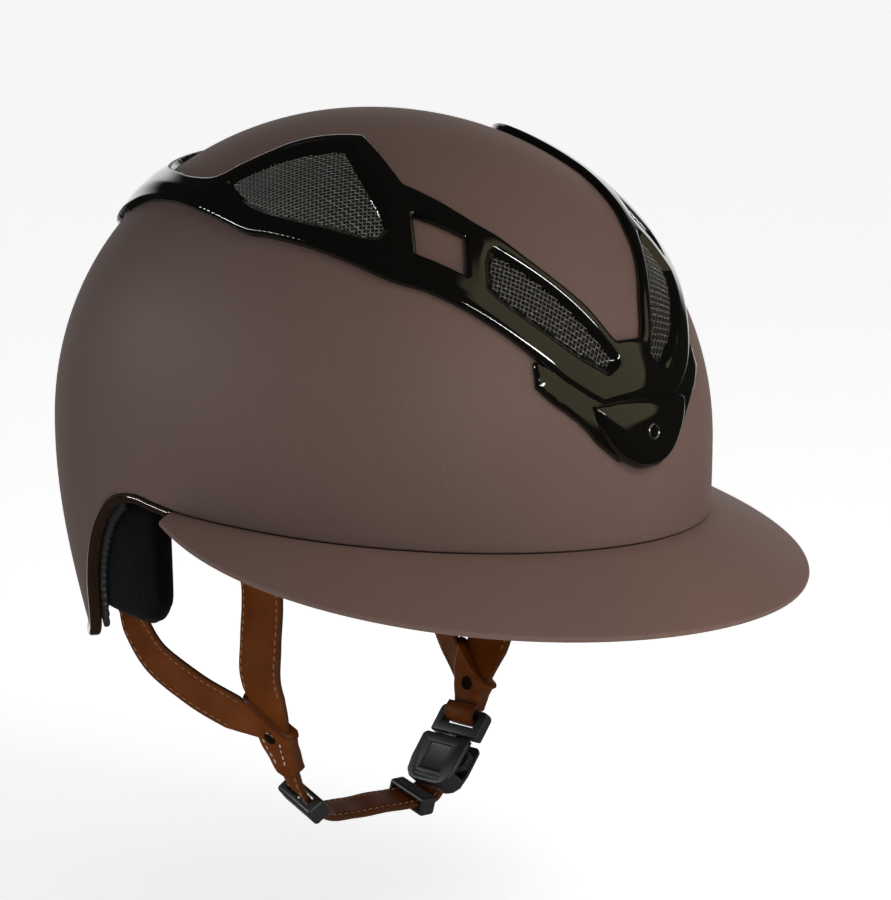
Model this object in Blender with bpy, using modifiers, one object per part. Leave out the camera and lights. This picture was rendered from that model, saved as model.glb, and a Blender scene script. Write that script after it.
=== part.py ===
"""Equestrian riding helmet: shell, visor, vent frame, liner, pads and a buckled leather harness.

Metres, +Z up, the wearer's face looks along -Y, and the wearer's left is +X.
The origin is the middle of the crown pad's flat underside, where the helmet rests on its wearer.
Shapes are drawn from the middle of the rim plane, level with the seam between shell and visor at
the brow, and an empty carries them all down to their place below the origin.
"""

import math

import bmesh
import bpy
import numpy as np
from mathutils import Matrix, Vector

MM = 0.001
GAP = 0.3 * MM

# Skull form: an ellipsoid-like surface about SKULL_CENTRE with its own half-axis for each side.
SKULL_CENTRE_Z = 26.3 * MM
HALF_WIDTH = 110.0 * MM
HALF_LENGTH_FRONT = 136.5 * MM
HALF_LENGTH_BACK = 131.5 * MM
CROWN_RISE = 117.3 * MM
DROP_FRONT = 306.0 * MM
DROP_SIDE = 270.0 * MM
DROP_BACK = 128.0 * MM
ROUNDNESS = 2.04

# Shell and liner thicknesses, measured inwards from the skull form.
SHELL_THICKNESS = 2.5 * MM
LINER_OUTSIDE = 4.2 * MM
LINER_INSIDE = 24.8 * MM
LINER_RIM_RISE = 4.0 * MM
LINER_LOWEST = -6.0 * MM
PAD_CLEARANCE = 1.4 * MM

# Lower edge of the shell: azimuth from the brow in degrees against height in millimetres.
SIDE_SEAM_RISE = 9.5
EAR_CUT = ((88, 10.2), (93, 11.6), (97.5, 10.9), (101.5, 8.7), (104.7, 4.5), (108.6, -3.5),
           (112, -14.6), (114.6, -27), (116.2, -38), (118.5, -44.5), (124, -47), (135, -46.5),
           (150, -42), (165, -32), (180, -24))
RIM_STEP = 15.0 * MM
DOME_ROWS = 9

# Visor
VISOR_END = 83.0
VISOR_WIDTH = 44.15 * MM
VISOR_REACH = 92.0
VISOR_SLOPE_SIDE = 20.7
VISOR_SLOPE_RISE = 10.2
VISOR_ROOT_THICKNESS = 3.2 * MM
VISOR_EDGE_THICKNESS = 2.0 * MM
VISOR_FLANGE = 6.0 * MM
VISOR_FULLNESS = 3.0
VISOR_TAPER = 0.72
VISOR_CROWN = 0.022

# Vent frame and its meshes, in degrees of arc from the crown: (sideways, forwards).
FRAME_HEIGHT = 3.0 * MM
FRAME_FLOOR = 0.6 * MM
MAP_STEP = 7.0
FRAME_OUTER = ((0, 80), (11, 79.7), (14, 77.5), (18.3, 73.7), (22.5, 67.9), (29.5, 56.7),
               (37.5, 43.8), (40.7, 34.2), (43, 25.4), (45.9, 11.4), (43.8, -0.9), (41.2, -11.2),
               (37.2, -24), (31, -40), (21, -53), (0, -58))
FRAME_INNER = ((0, 71), (4.1, 70.3), (7.3, 65), (13.9, 54.8), (18.4, 45), (22.5, 31.7),
               (19.3, 21.4), (17.2, 15.8), (21.8, 8.2), (28.4, 2.5), (35.2, -3.9), (36.3, -7),
               (33.4, -16.2), (27, -27), (16, -35), (0, -38))
REAR_MESH = ((36.8, 1), (29.5, 7.3), (22.7, 16.5), (28.3, 28.7), (31.8, 36.5), (33.3, 36.6),
             (37.1, 27.7), (40.1, 15.1), (39.7, 8.9))
SIDE_WINDOW = ((25.9, 37.9), (21.5, 46.7), (25.9, 52.5), (30.5, 44.4))
FRONT_MESH = ((19.1, 52.1), (5.8, 73.7), (7.6, 74.3), (17.8, 65), (22.7, 56.4), (20.4, 53.1))
EXHAUST_MESH = ((0, -42.5), (13, -41), (16, -44), (11, -51), (0, -53))
MESH_LAP = 0.45
MESH_TOP = -0.8 * MM
MESH_BOTTOM = -1.8 * MM
OPENING_TOP = 4.0 * MM
OPENING_BOTTOM = -6.0 * MM
CHANNEL_TOP = 2.0 * MM
CHANNEL_BOTTOM = -34.0 * MM
BROW_PLATE_EDGE = ((22.2, 69.8), (23.6, 73.2), (21, 76.6), (12.6, 85), (8, 88.2), (0, 89.2))
BROW_PLATE_HEIGHT = 1.5 * MM
EMBLEM_BOSS = ((0, 81), (8.6, 81), (7.6, 84), (4.6, 87.4), (0, 88))
EMBLEM_BOSS_HEIGHT = 3.0 * MM
EMBLEM_RADIUS = 3.4 * MM
EMBLEM_ARC = 84.3

# Pads
NAPE_PAD_FRONT = 91.0
NAPE_PAD_BACK = 127.0
NAPE_PAD_LOW = -39.0
NAPE_PAD_OUTSIDE = 6.6
NAPE_PAD_THICKNESS = 8.4
NAPE_PAD_TAPER = 4.0
CROWN_PAD_RADIUS = 38.0 * MM
CROWN_PAD_FLOOR = 105.0 * MM

# Harness: strap centre lines on the wearer's right, mirrored for the left. Millimetres.
STRAP_THICKNESS = 2.0 * MM
FRONT_STRAP_WIDTH = 22.0 * MM
REAR_STRAP_WIDTH = 14.0 * MM
CHIN_STRAP_WIDTH = 15.0 * MM
CHIN_STRAP_LEAN = (0.16, 0.96, 0.26)
FRONT_TAB = ((83.0, -8, 36), (82.6, -8, 24), (80.5, -8, 8), (76, -8, -4), (70.6, -7.7, -12.8))
FRONT_STRAP = ((69.4, -7.6, -15.2), (65.2, -7, -24), (62.8, -6, -34), (61.6, -4.4, -48),
               (59.2, -2.8, -61), (53.2, -1.6, -75))
REAR_TAB = ((82, 53, 10), (80.5, 53, -14), (77.5, 51.5, -34.5))
REAR_STRAP = ((76.6, 50.6, -37.6), (75, 48.5, -48), (71.5, 41, -59.5), (65, 27.5, -69.5),
              (58, 13.5, -77))
JUNCTION_RIGHT = ((51.6, 0.5, -78), (47.5, 1, -86), (42.5, 1, -93.5))
JUNCTION_LEFT = ((52.4, 0.5, -78), (52.2, 1, -84), (51.4, 1, -90))
PLUG_LOOP = ((-13.7, 4.4), (-9.4, 4.2), (-8.1, 2.6), (-7.9, 0), (-8.1, -2.6), (-9.4, -4.2),
             (-13.7, -4.4))
CHIN_STRAP = ((-41.6, -95), (-36.5, -101.5), (-31, -109), (-24.5, -114.5), (-13, -117.6),
              (0, -119), (13, -120), (26.5, -120.4))
SLIDER_PLACE = (-31, -109)
STRAP_PIVOT = Vector((-70.0, 0.0, -14.0)) * MM
REAR_STRAP_PIVOT = Vector((-77.05, 51.05, -36.05)) * MM
CHIN_HARNESS = ("front_strap_right", "strap_junction_right", "junction_rivet_right", "chin_strap",
                "buckle_receiver", "strap_slider", "strap_keeper")
BUCKLE_MOUTH = Vector((42.6, 1.0, -101.6)) * MM
BUCKLE_WIDTH = 25.0 * MM
BUCKLE_THICKNESS = 9.0 * MM
BUCKLE_DEPTH = 21.0 * MM
PLUG_THICKNESS = 3.2 * MM
PLUG_CLEARANCE = 1.4 * MM
PRONG_WIDTH = 3.4 * MM

SHELL_MATT = ("shell_matt_brown", (0.150, 0.112, 0.094), 0.62, 0.0)
GLOSS_BLACK = ("gloss_black", (0.012, 0.011, 0.009), 0.08, 0.0)
VENT_GREY = ("vent_mesh_grey", (0.045, 0.043, 0.042), 0.45, 0.5)
LEATHER = ("tan_leather", (0.240, 0.095, 0.030), 0.50, 0.0)
PAD_BLACK = ("pad_black", (0.012, 0.012, 0.013), 0.90, 0.0)
FOAM = ("foam_charcoal", (0.030, 0.030, 0.032), 0.95, 0.0)
BUCKLE_PLASTIC = ("buckle_plastic", (0.030, 0.032, 0.032), 0.45, 0.0)
STEEL = ("rivet_steel", (0.45, 0.43, 0.40), 0.30, 1.0)


def clear_scene():
    for obj in list(bpy.data.objects):
        bpy.data.objects.remove(obj, do_unlink=True)


def new_collection(name):
    collection = bpy.data.collections.new(name)
    bpy.context.scene.collection.children.link(collection)
    return collection


def material(kind):
    name, colour, roughness, metallic = kind
    found = bpy.data.materials.get(name)
    if found:
        return found
    made = bpy.data.materials.new(name)
    made.use_nodes = True
    shader = made.node_tree.nodes["Principled BSDF"]
    shader.inputs["Base Color"].default_value = (*colour, 1.0)
    shader.inputs["Roughness"].default_value = roughness
    shader.inputs["Metallic"].default_value = metallic
    made.diffuse_color = (*colour, 1.0)
    return made


def finish_mesh(bm, name, kind, collection, smooth_angle=35.0):
    """Turns a bmesh into an object with outward faces and its own material."""
    bmesh.ops.remove_doubles(bm, verts=bm.verts, dist=0.00001)
    bmesh.ops.recalc_face_normals(bm, faces=bm.faces)
    if bm.calc_volume(signed=True) < 0:
        bmesh.ops.reverse_faces(bm, faces=bm.faces)
    mesh = bpy.data.meshes.new(name)
    bm.to_mesh(mesh)
    bm.free()
    mesh.shade_smooth()
    mesh.set_sharp_from_angle(angle=math.radians(smooth_angle))
    obj = bpy.data.objects.new(name, mesh)
    obj.data.materials.append(material(kind))
    collection.objects.link(obj)
    return obj


def loft(rings, name, kind, collection, closed=False):
    """Joins equal-length rings of points with quads; open lofts get end caps."""
    bm = bmesh.new()
    rows = [[bm.verts.new(point) for point in ring] for ring in rings]
    pairs = list(zip(rows, rows[1:]))
    if closed:
        pairs.append((rows[-1], rows[0]))
    count = len(rings[0])
    for near, far in pairs:
        for index in range(count):
            after = (index + 1) % count
            bm.faces.new((near[index], near[after], far[after], far[index]))
    if not closed:
        bm.faces.new(rows[0])
        bm.faces.new(list(reversed(rows[-1])))
    return finish_mesh(bm, name, kind, collection)


def cut(target, cutter):
    """Boolean difference; the cutter stays hidden in the cutters' collection."""
    cutter.hide_render = True
    cutter.display_type = "WIRE"
    modifier = target.modifiers.new("cut_" + cutter.name, "BOOLEAN")
    modifier.operation = "DIFFERENCE"
    modifier.solver = "EXACT"
    modifier.object = cutter
    return target


# --- The skull form -------------------------------------------------------------------------

def half_axes(azimuth, offset):
    """Half-axes (width, length, drop) that apply at an azimuth, grown outwards by offset."""
    backwards = -math.cos(azimuth)
    length = HALF_LENGTH_BACK if backwards > 0 else HALF_LENGTH_FRONT
    share = backwards * backwards
    if backwards > 0:
        drop = DROP_SIDE + (DROP_BACK - DROP_SIDE) * share * (3 - 2 * backwards)
    else:
        drop = DROP_SIDE + (DROP_FRONT - DROP_SIDE) * share
    return HALF_WIDTH + offset, length + offset, drop + offset


def level_radius(azimuth, z, offset):
    """Horizontal distance from the axis to the form, at an azimuth and height."""
    width, length, drop = half_axes(azimuth, offset)
    rise = z - SKULL_CENTRE_Z
    vertical = CROWN_RISE + offset if rise > 0 else drop
    flat = math.hypot(math.sin(azimuth) / width, math.cos(azimuth) / length)
    remaining = 1 - abs(rise / vertical) ** ROUNDNESS
    return max(remaining, 0.0) ** (1 / ROUNDNESS) / flat


def wall_point(azimuth, z, offset):
    radius = level_radius(azimuth, z, offset)
    return Vector((radius * math.sin(azimuth), -radius * math.cos(azimuth), z))


def dome_point(azimuth, polar, offset):
    """Point of the form along a direction: polar is the angle from the crown."""
    width, length, drop = half_axes(azimuth, offset)
    vertical = CROWN_RISE + offset if math.cos(polar) > 0 else drop
    flat = math.sin(polar) * math.hypot(math.sin(azimuth) / width, math.cos(azimuth) / length)
    upright = abs(math.cos(polar)) / vertical
    radius = (flat**ROUNDNESS + upright**ROUNDNESS) ** (-1 / ROUNDNESS)
    level = radius * math.sin(polar)
    height = SKULL_CENTRE_Z + radius * math.cos(polar)
    return Vector((level * math.sin(azimuth), -level * math.cos(azimuth), height))


def map_point(sideways, forwards, height):
    """Point above the form for map coordinates in degrees of arc from the crown."""
    polar = math.radians(math.hypot(sideways, forwards))
    azimuth = math.atan2(sideways, forwards)
    return dome_point(azimuth, polar, height)


def smooth_curve(points, pieces):
    """Catmull-Rom curve through points, with the given number of pieces per span."""
    control = [np.array(point, float) for point in points]
    control = [2 * control[0] - control[1], *control, 2 * control[-1] - control[-2]]
    found = []
    for before, start, end, after in zip(control, control[1:], control[2:], control[3:]):
        for step in range(pieces):
            t = step / pieces
            bend = 2 * before - 5 * start + 4 * end - after
            twist = 3 * (start - end) + after - before
            found.append(start + 0.5 * ((end - before) * t + bend * t**2 + twist * t**3))
    found.append(control[-2])
    return found


def rim_half():
    """(azimuth, height) along the shell's lower edge, from the brow to the nape."""
    seam = [(a, SIDE_SEAM_RISE * (1 - math.cos(math.radians(a)))) for a in range(0, 81, 10)]
    dense = [(math.radians(a), z * MM) for a, z in smooth_curve(seam + list(EAR_CUT), 8)]
    points = [wall_point(a, z, 0.0) for a, z in dense]
    lengths = np.cumsum([0.0] + [(b - a).length for a, b in zip(points, points[1:])])
    count = round(lengths[-1] / RIM_STEP)
    wanted = np.linspace(0, lengths[-1], count + 1)
    azimuths = np.interp(wanted, lengths, [a for a, _ in dense])
    heights = np.interp(wanted, lengths, [z for _, z in dense])
    return list(zip(azimuths, heights))


def rim_all_round():
    half = rim_half()
    other = [(-azimuth, height) for azimuth, height in reversed(half[1:-1])]
    return half + other


def dome(name, rim, outer_offset, inner_offset, kind, collection):
    """A shell between two offsets of the form, closed at the crown and open at the rim."""
    bm = bmesh.new()
    sides = []
    for offset in (outer_offset, inner_offset):
        crown = bm.verts.new(dome_point(0.0, 0.0, offset))
        rows = []
        for row in range(1, DOME_ROWS + 1):
            ring = []
            for azimuth, height in rim:
                edge = level_radius(azimuth, height, offset)
                reach = math.atan2(edge, height - SKULL_CENTRE_Z)
                ring.append(bm.verts.new(dome_point(azimuth, reach * row / DOME_ROWS, offset)))
            rows.append(ring)
        sides.append((crown, rows))
    count = len(rim)
    for crown, rows in sides:
        for index in range(count):
            after = (index + 1) % count
            bm.faces.new((crown, rows[0][index], rows[0][after]))
            for upper, lower in zip(rows, rows[1:]):
                bm.faces.new((upper[index], lower[index], lower[after], upper[after]))
    outside, inside = sides[0][1][-1], sides[1][1][-1]
    for index in range(count):
        after = (index + 1) % count
        bm.faces.new((outside[index], inside[index], inside[after], outside[after]))
    return finish_mesh(bm, name, kind, collection)


# --- Plates wrapped on the form -------------------------------------------------------------

def both_sides(half):
    """A closed outline from its half at sideways >= 0 whose ends lie on the middle line."""
    other = [(-u, v) for u, v in reversed(half) if u > 0]
    return list(half) + other


def one_side(outline, side):
    return [(side * u, v) for u, v in outline]


def grown(outline, distance):
    """Offsets a closed outline outwards by a distance, moving its edges parallel."""
    points = [np.array(point, float) for point in outline]
    area = sum(a[0] * b[1] - b[0] * a[1] for a, b in zip(points, points[1:] + points[:1]))
    sign = 1.0 if area > 0 else -1.0
    found = []
    for before, here, after in zip(points[-1:] + points[:-1], points, points[1:] + points[:1]):
        normals = []
        for start, end in ((before, here), (here, after)):
            along = (end - start) / np.linalg.norm(end - start)
            normals.append(sign * np.array((along[1], -along[0])))
        middle = normals[0] + normals[1]
        shift = 2 * distance * middle / max(np.dot(middle, middle), 1.0)
        found.append(tuple(here + shift))
    return found


def flat_plate(outline, holes):
    """Mesh of a unit-thick plate in map degrees, from a filled 2D curve."""
    curve = bpy.data.curves.new("outline", "CURVE")
    curve.dimensions = "2D"
    curve.fill_mode = "BOTH"
    curve.extrude = 0.5
    for points in [outline, *holes]:
        spline = curve.splines.new("POLY")
        spline.points.add(len(points) - 1)
        for target, (u, v) in zip(spline.points, points):
            target.co = (u, v, 0.0, 1.0)
        spline.use_cyclic_u = True
    holder = bpy.data.objects.new("outline", curve)
    bpy.context.scene.collection.objects.link(holder)
    graph = bpy.context.evaluated_depsgraph_get()
    mesh = bpy.data.meshes.new_from_object(holder.evaluated_get(graph))
    bpy.data.objects.remove(holder, do_unlink=True)
    bpy.data.curves.remove(curve)
    return mesh


def wrapped_plate(name, outline, holes, bottom, top, kind, collection, step=MAP_STEP):
    """A plate that lies on the form between two heights above it."""
    mesh = flat_plate(outline, holes)
    bm = bmesh.new()
    bm.from_mesh(mesh)
    bpy.data.meshes.remove(mesh)
    bmesh.ops.remove_doubles(bm, verts=bm.verts, dist=0.0001)
    for axis in range(2):
        values = [point[axis] for point in outline]
        first = math.floor(min(values) / step) + 1
        last = math.ceil(max(values) / step)
        for line in range(first, last):
            place = Vector((0, 0, 0))
            place[axis] = line * step
            normal = Vector((0, 0, 0))
            normal[axis] = 1
            whole = bm.verts[:] + bm.edges[:] + bm.faces[:]
            bmesh.ops.bisect_plane(bm, geom=whole, plane_co=place, plane_no=normal, dist=0.0001)
    bmesh.ops.remove_doubles(bm, verts=bm.verts, dist=0.02)
    bmesh.ops.triangulate(bm, faces=bm.faces)
    for vert in bm.verts:
        height = top if vert.co.z > 0 else bottom
        vert.co = map_point(vert.co.x, vert.co.y, height)
    return finish_mesh(bm, name, kind, collection)


def vent_outlines():
    """Every opening of the vent frame that holds a mesh, by the mesh's name."""
    found = {"exhaust_mesh": both_sides(EXHAUST_MESH)}
    for side, word in ((-1, "right"), (1, "left")):
        found["rear_vent_mesh_" + word] = one_side(REAR_MESH, side)
        found["front_vent_mesh_" + word] = one_side(FRONT_MESH, side)
    return found


def add_outer_parts(parts, cutters):
    shell = dome("outer_shell", rim_all_round(), 0.0, -SHELL_THICKNESS, SHELL_MATT, parts)
    liner_rim = [(azimuth, max(height + LINER_RIM_RISE, LINER_LOWEST))
                 for azimuth, height in rim_all_round()]
    liner = dome("impact_liner", liner_rim, -LINER_OUTSIDE, -LINER_INSIDE, FOAM, parts)
    windows = [one_side(SIDE_WINDOW, side) for side in (-1, 1)]
    vents = vent_outlines()
    holes = [both_sides(FRAME_INNER), *windows, *vents.values()]
    wrapped_plate("vent_frame", both_sides(FRAME_OUTER), holes, FRAME_FLOOR, FRAME_HEIGHT,
                  GLOSS_BLACK, parts)
    for name, outline in vents.items():
        mesh_outline = grown(outline, MESH_LAP)
        wrapped_plate(name, mesh_outline, [], MESH_BOTTOM, MESH_TOP, VENT_GREY, parts)
        opening = grown(mesh_outline, 0.2)
        cut(shell, wrapped_plate("opening_" + name, opening, [], OPENING_BOTTOM, OPENING_TOP,
                                 STEEL, cutters, 10))
        channel = grown(outline, -1.0)
        cut(liner, wrapped_plate("channel_" + name, channel, [], CHANNEL_BOTTOM, CHANNEL_TOP,
                                 STEEL, cutters, 10))
    frame_edge = [point for point in FRAME_OUTER if point[1] > 67 and point[0] > 0]
    lifted = [(u + 0.25, v + 0.25) for u, v in frame_edge]
    plate_half = [(0, 80.25), *lifted, *BROW_PLATE_EDGE]
    wrapped_plate("brow_plate", both_sides(plate_half), [], FRAME_FLOOR, BROW_PLATE_HEIGHT,
                  GLOSS_BLACK, parts)
    wrapped_plate("emblem_boss", both_sides(EMBLEM_BOSS), [], BROW_PLATE_HEIGHT + GAP,
                  EMBLEM_BOSS_HEIGHT, GLOSS_BLACK, parts)
    add_emblem(parts)
    return liner


def add_emblem(parts):
    """A plain round stud on the boss."""
    middle = map_point(0, EMBLEM_ARC, EMBLEM_BOSS_HEIGHT + GAP)
    outwards = (map_point(0, EMBLEM_ARC, 10 * MM) - map_point(0, EMBLEM_ARC, 0)).normalized()
    bm = bmesh.new()
    bmesh.ops.create_cone(bm, cap_ends=True, segments=20, radius1=EMBLEM_RADIUS,
                          radius2=EMBLEM_RADIUS * 0.8, depth=0.8 * MM)
    bmesh.ops.translate(bm, verts=bm.verts, vec=(0, 0, 0.4 * MM + 0.1 * MM))
    stud = finish_mesh(bm, "emblem_stud", STEEL, parts)
    stud.rotation_mode = "QUATERNION"
    stud.rotation_quaternion = outwards.to_track_quat("Z", "Y")
    stud.location = middle
    return stud


def visor_width(azimuth_degrees):
    share = min(abs(azimuth_degrees) / VISOR_REACH, 1.0)
    return VISOR_WIDTH * (1 - share**VISOR_FULLNESS) ** (1 / VISOR_TAPER)


def add_visor(parts):
    """The wide visor, lofted round the brow, with a flange that the shell's edge stands on."""
    rings = []
    for degrees in np.linspace(-VISOR_END, VISOR_END, 35):
        azimuth = math.radians(degrees)
        seam = SIDE_SEAM_RISE * MM * (1 - math.cos(azimuth))
        width = visor_width(degrees)
        slope = math.radians(VISOR_SLOPE_SIDE + VISOR_SLOPE_RISE * math.cos(azimuth) ** 2)
        outward = Vector((math.sin(azimuth), -math.cos(azimuth), 0))
        along = outward * math.cos(slope) - Vector((0, 0, math.sin(slope)))
        upright = outward * math.sin(slope) + Vector((0, 0, math.cos(slope)))
        root = wall_point(azimuth, seam, 0.0) - Vector((0, 0, GAP))
        crown = VISOR_CROWN * width
        nose = VISOR_EDGE_THICKNESS
        middle = (VISOR_ROOT_THICKNESS + nose) / 2
        outline = (
            (0.0, 0.0), (0.5 * width, crown), (width - 0.6 * nose, 0.0), (width, -0.5 * nose),
            (width - 0.6 * nose, -nose), (0.5 * width, crown - middle),
            (0.0, -VISOR_ROOT_THICKNESS),
        )
        ring = [root + along * out + upright * up for out, up in outline]
        inner = root - outward * VISOR_FLANGE
        ring.append(inner - Vector((0, 0, VISOR_ROOT_THICKNESS)))
        ring.append(inner)
        rings.append(ring)
    return loft(rings, "visor_brim", SHELL_MATT, parts)


def add_rim_trim(parts):
    """The gloss lip below the shell's edge, from one ear cut round the nape to the other."""
    whole = rim_half()
    first = math.radians(VISOR_END + 0.8)
    start_height = np.interp(first, [point[0] for point in whole], [point[1] for point in whole])
    half = [(first, start_height)] + [point for point in whole if point[0] > first + 0.02]
    path = half + [(-azimuth, height) for azimuth, height in reversed(half[:-1])]
    points = [wall_point(azimuth, height, 0.0) for azimuth, height in path]
    rings = []
    for index, (azimuth, height) in enumerate(path):
        before = points[max(index - 1, 0)]
        after = points[min(index + 1, len(points) - 1)]
        tangent = (after - before).normalized()
        here = points[index]
        normal = (here - wall_point(azimuth, height, -5 * MM)).normalized()
        down = tangent.cross(normal).normalized()
        section = ((0.9, 0.35), (0.9, 2.2), (0.0, 3.2), (-2.6, 3.2), (-3.4, 2.2), (-3.4, 0.35))
        rings.append([here + (normal * out + down * low) * MM for out, low in section])
    return loft(rings, "rim_trim", GLOSS_BLACK, parts)


# --- Pads -----------------------------------------------------------------------------------

def pad_band(name, start, end, low, high, outside, thickness, parts, steps=10, taper=0.0):
    """A curved pad on the liner's inner wall, between two azimuths and two heights."""
    rings = []
    for step in range(steps + 1):
        share = step / steps
        azimuth = math.radians(start + (end - start) * share)
        ease = math.sin(math.pi * min(max(share, 0.0), 1.0)) ** 0.35 if taper else 1.0
        middle = (low + high) / 2
        half = (high - low) / 2 * (1 - taper + taper * ease)
        round_off = min(3.0, 0.3 * thickness, 0.4 * half)
        section = (
            (0.0, -half + round_off), (0.0, half - round_off), (-round_off, half),
            (-thickness + round_off, half), (-thickness, half - round_off),
            (-thickness, -half + round_off), (-thickness + round_off, -half),
            (-round_off, -half),
        )
        ring = []
        for inwards, rise in section:
            height = (middle + rise) * MM
            outer = wall_point(azimuth, height, -outside * MM)
            level = Vector((math.sin(azimuth), -math.cos(azimuth), 0))
            ring.append(outer + level * inwards * MM)
        rings.append(ring)
    return loft(rings, name, PAD_BLACK, parts)


def add_crown_pad(parts):
    """A domed disc under the crown with a flat underside."""
    wide = HALF_WIDTH - LINER_INSIDE - PAD_CLEARANCE
    tall = CROWN_RISE - LINER_INSIDE - PAD_CLEARANCE
    radii = np.linspace(CROWN_PAD_RADIUS, 0.0, 7)
    top = [(r, SKULL_CENTRE_Z + tall * math.sqrt(1 - (r / wide) ** 2)) for r in radii]
    profile = [*reversed(top), (CROWN_PAD_RADIUS, CROWN_PAD_FLOOR), (0.0, CROWN_PAD_FLOOR)]
    mesh = bpy.data.meshes.new("crown_pad")
    edges = [(index, index + 1) for index in range(len(profile) - 1)]
    mesh.from_pydata([(r, 0, z) for r, z in profile], edges, [])
    pad = bpy.data.objects.new("crown_pad", mesh)
    pad.data.materials.append(material(PAD_BLACK))
    parts.objects.link(pad)
    turn = pad.modifiers.new("turn", "SCREW")
    turn.steps = 36
    turn.render_steps = 36
    turn.use_merge_vertices = True
    turn.merge_threshold = 0.0001
    turn.use_smooth_shade = True
    return pad


def add_nape_pad(side, word, parts):
    """A pad behind the ear cut, under the liner's edge, whose top follows the shell's edge."""
    whole = rim_half()
    azimuths = [point[0] for point in whole]
    heights = [point[1] for point in whole]
    rings = []
    for degrees in np.linspace(NAPE_PAD_FRONT, NAPE_PAD_BACK, 12):
        azimuth = math.radians(degrees)
        edge = np.interp(azimuth, azimuths, heights) / MM
        top = max(min(edge + 2.4, 8.0), LINER_LOWEST / MM - 0.8)
        share = (degrees - NAPE_PAD_FRONT) / (NAPE_PAD_BACK - NAPE_PAD_FRONT)
        low = NAPE_PAD_LOW + 9.0 * max(0.12 - share, 0.0) / 0.12
        thick = NAPE_PAD_THICKNESS - NAPE_PAD_TAPER * min(max(share - 0.35, 0.0) / 0.2, 1.0)
        soft = 0.28 * thick
        section = ((0, low + 3), (0, top - 3), (soft, top), (thick - soft, top),
                   (thick, top - 3), (thick, low + 3), (thick - soft, low), (soft, low))
        rings.append([wall_point(side * azimuth, height * MM, -(NAPE_PAD_OUTSIDE + deep) * MM)
                      for deep, height in section])
    return loft(rings, "nape_pad_" + word, PAD_BLACK, parts)


def add_pads(parts):
    add_crown_pad(parts)
    outside = LINER_INSIDE / MM + PAD_CLEARANCE / MM
    pad_band("brow_pad", -52, 52, 7, 37, outside, 9, parts, steps=16)
    for side, word in ((-1, "right"), (1, "left")):
        pad_band("side_pad_" + word, side * 62, side * 100, 18, 60, outside + 4.5, 7, parts)
        add_nape_pad(side, word, parts)


# --- Harness --------------------------------------------------------------------------------

def ribbon(name, path, width, kind, parts, side_hint=(0, 1, 0), pieces=3, thickness=None):
    """A flat strap along a smooth path, its width lying along side_hint."""
    thick = thickness or STRAP_THICKNESS
    points = [Vector(point) * MM for point in smooth_curve(path, pieces)]
    rings = []
    for index, here in enumerate(points):
        before = points[max(index - 1, 0)]
        after = points[min(index + 1, len(points) - 1)]
        tangent = (after - before).normalized()
        hint = Vector(side_hint)
        side = (hint - tangent * hint.dot(tangent)).normalized()
        normal = tangent.cross(side).normalized()
        section = ((-1, -1), (1, -1), (1, 1), (-1, 1))
        rings.append([here + side * a * width / 2 + normal * b * thick / 2 for a, b in section])
    return loft(rings, name, kind, parts)


def oriented(bm, name, kind, collection, origin, along, across):
    """Places a bmesh built with X along, Y across and Z the third way."""
    along = along.normalized()
    third = along.cross(across).normalized()
    across = third.cross(along).normalized()
    turn = Matrix((along, across, third)).transposed().to_4x4()
    bmesh.ops.transform(bm, matrix=turn, verts=bm.verts)
    bmesh.ops.translate(bm, vec=origin, verts=bm.verts)
    return finish_mesh(bm, name, kind, collection)


def box(bm, low, high):
    made = bmesh.ops.create_cube(bm, size=1.0)["verts"]
    size = [b - a for a, b in zip(low, high)]
    bmesh.ops.scale(bm, vec=size, verts=made)
    bmesh.ops.translate(bm, vec=[(a + b) / 2 for a, b in zip(low, high)], verts=made)
    return made


def add_rivet(name, centre, axis, parts, head=4.0, shank=1.6, length=4.4):
    """Two heads joined by a shank, turned about one axis."""
    profile = ((0, -length / 2 - 1.0), (head * 0.7, -length / 2 - 1.0), (head, -length / 2),
               (shank, -length / 2), (shank, length / 2), (head, length / 2),
               (head * 0.7, length / 2 + 1.0), (0, length / 2 + 1.0))
    rings = []
    count = 16
    bm = bmesh.new()
    for radius, height in profile:
        if radius == 0:
            rings.append([bm.verts.new((0, 0, height * MM))])
            continue
        turns = [2 * math.pi * k / count for k in range(count)]
        rings.append([
            bm.verts.new((radius * math.cos(t) * MM, radius * math.sin(t) * MM, height * MM))
            for t in turns
        ])
    for low, high in zip(rings, rings[1:]):
        for k in range(count):
            n = (k + 1) % count
            if len(low) == 1:
                bm.faces.new((low[0], high[n], high[k]))
            elif len(high) == 1:
                bm.faces.new((low[k], low[n], high[0]))
            else:
                bm.faces.new((low[k], low[n], high[n], high[k]))
    rivet = finish_mesh(bm, name, STEEL, parts)
    rivet.rotation_mode = "QUATERNION"
    rivet.rotation_quaternion = axis.to_track_quat("Z", "Y")
    rivet.location = centre
    return rivet


def round_cutter(name, centre, axis, radius, length, cutters):
    bm = bmesh.new()
    bmesh.ops.create_cone(bm, cap_ends=True, segments=16, radius1=radius, radius2=radius,
                          depth=length)
    cutter = finish_mesh(bm, name, STEEL, cutters)
    cutter.rotation_mode = "QUATERNION"
    cutter.rotation_quaternion = axis.to_track_quat("Z", "Y")
    cutter.location = centre
    return cutter


def box_cutter(name, centre, size, cutters):
    bm = bmesh.new()
    half = [value / 2 for value in size]
    box(bm, [-value for value in half], half)
    cutter = finish_mesh(bm, name, STEEL, cutters)
    cutter.location = centre
    return cutter


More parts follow.
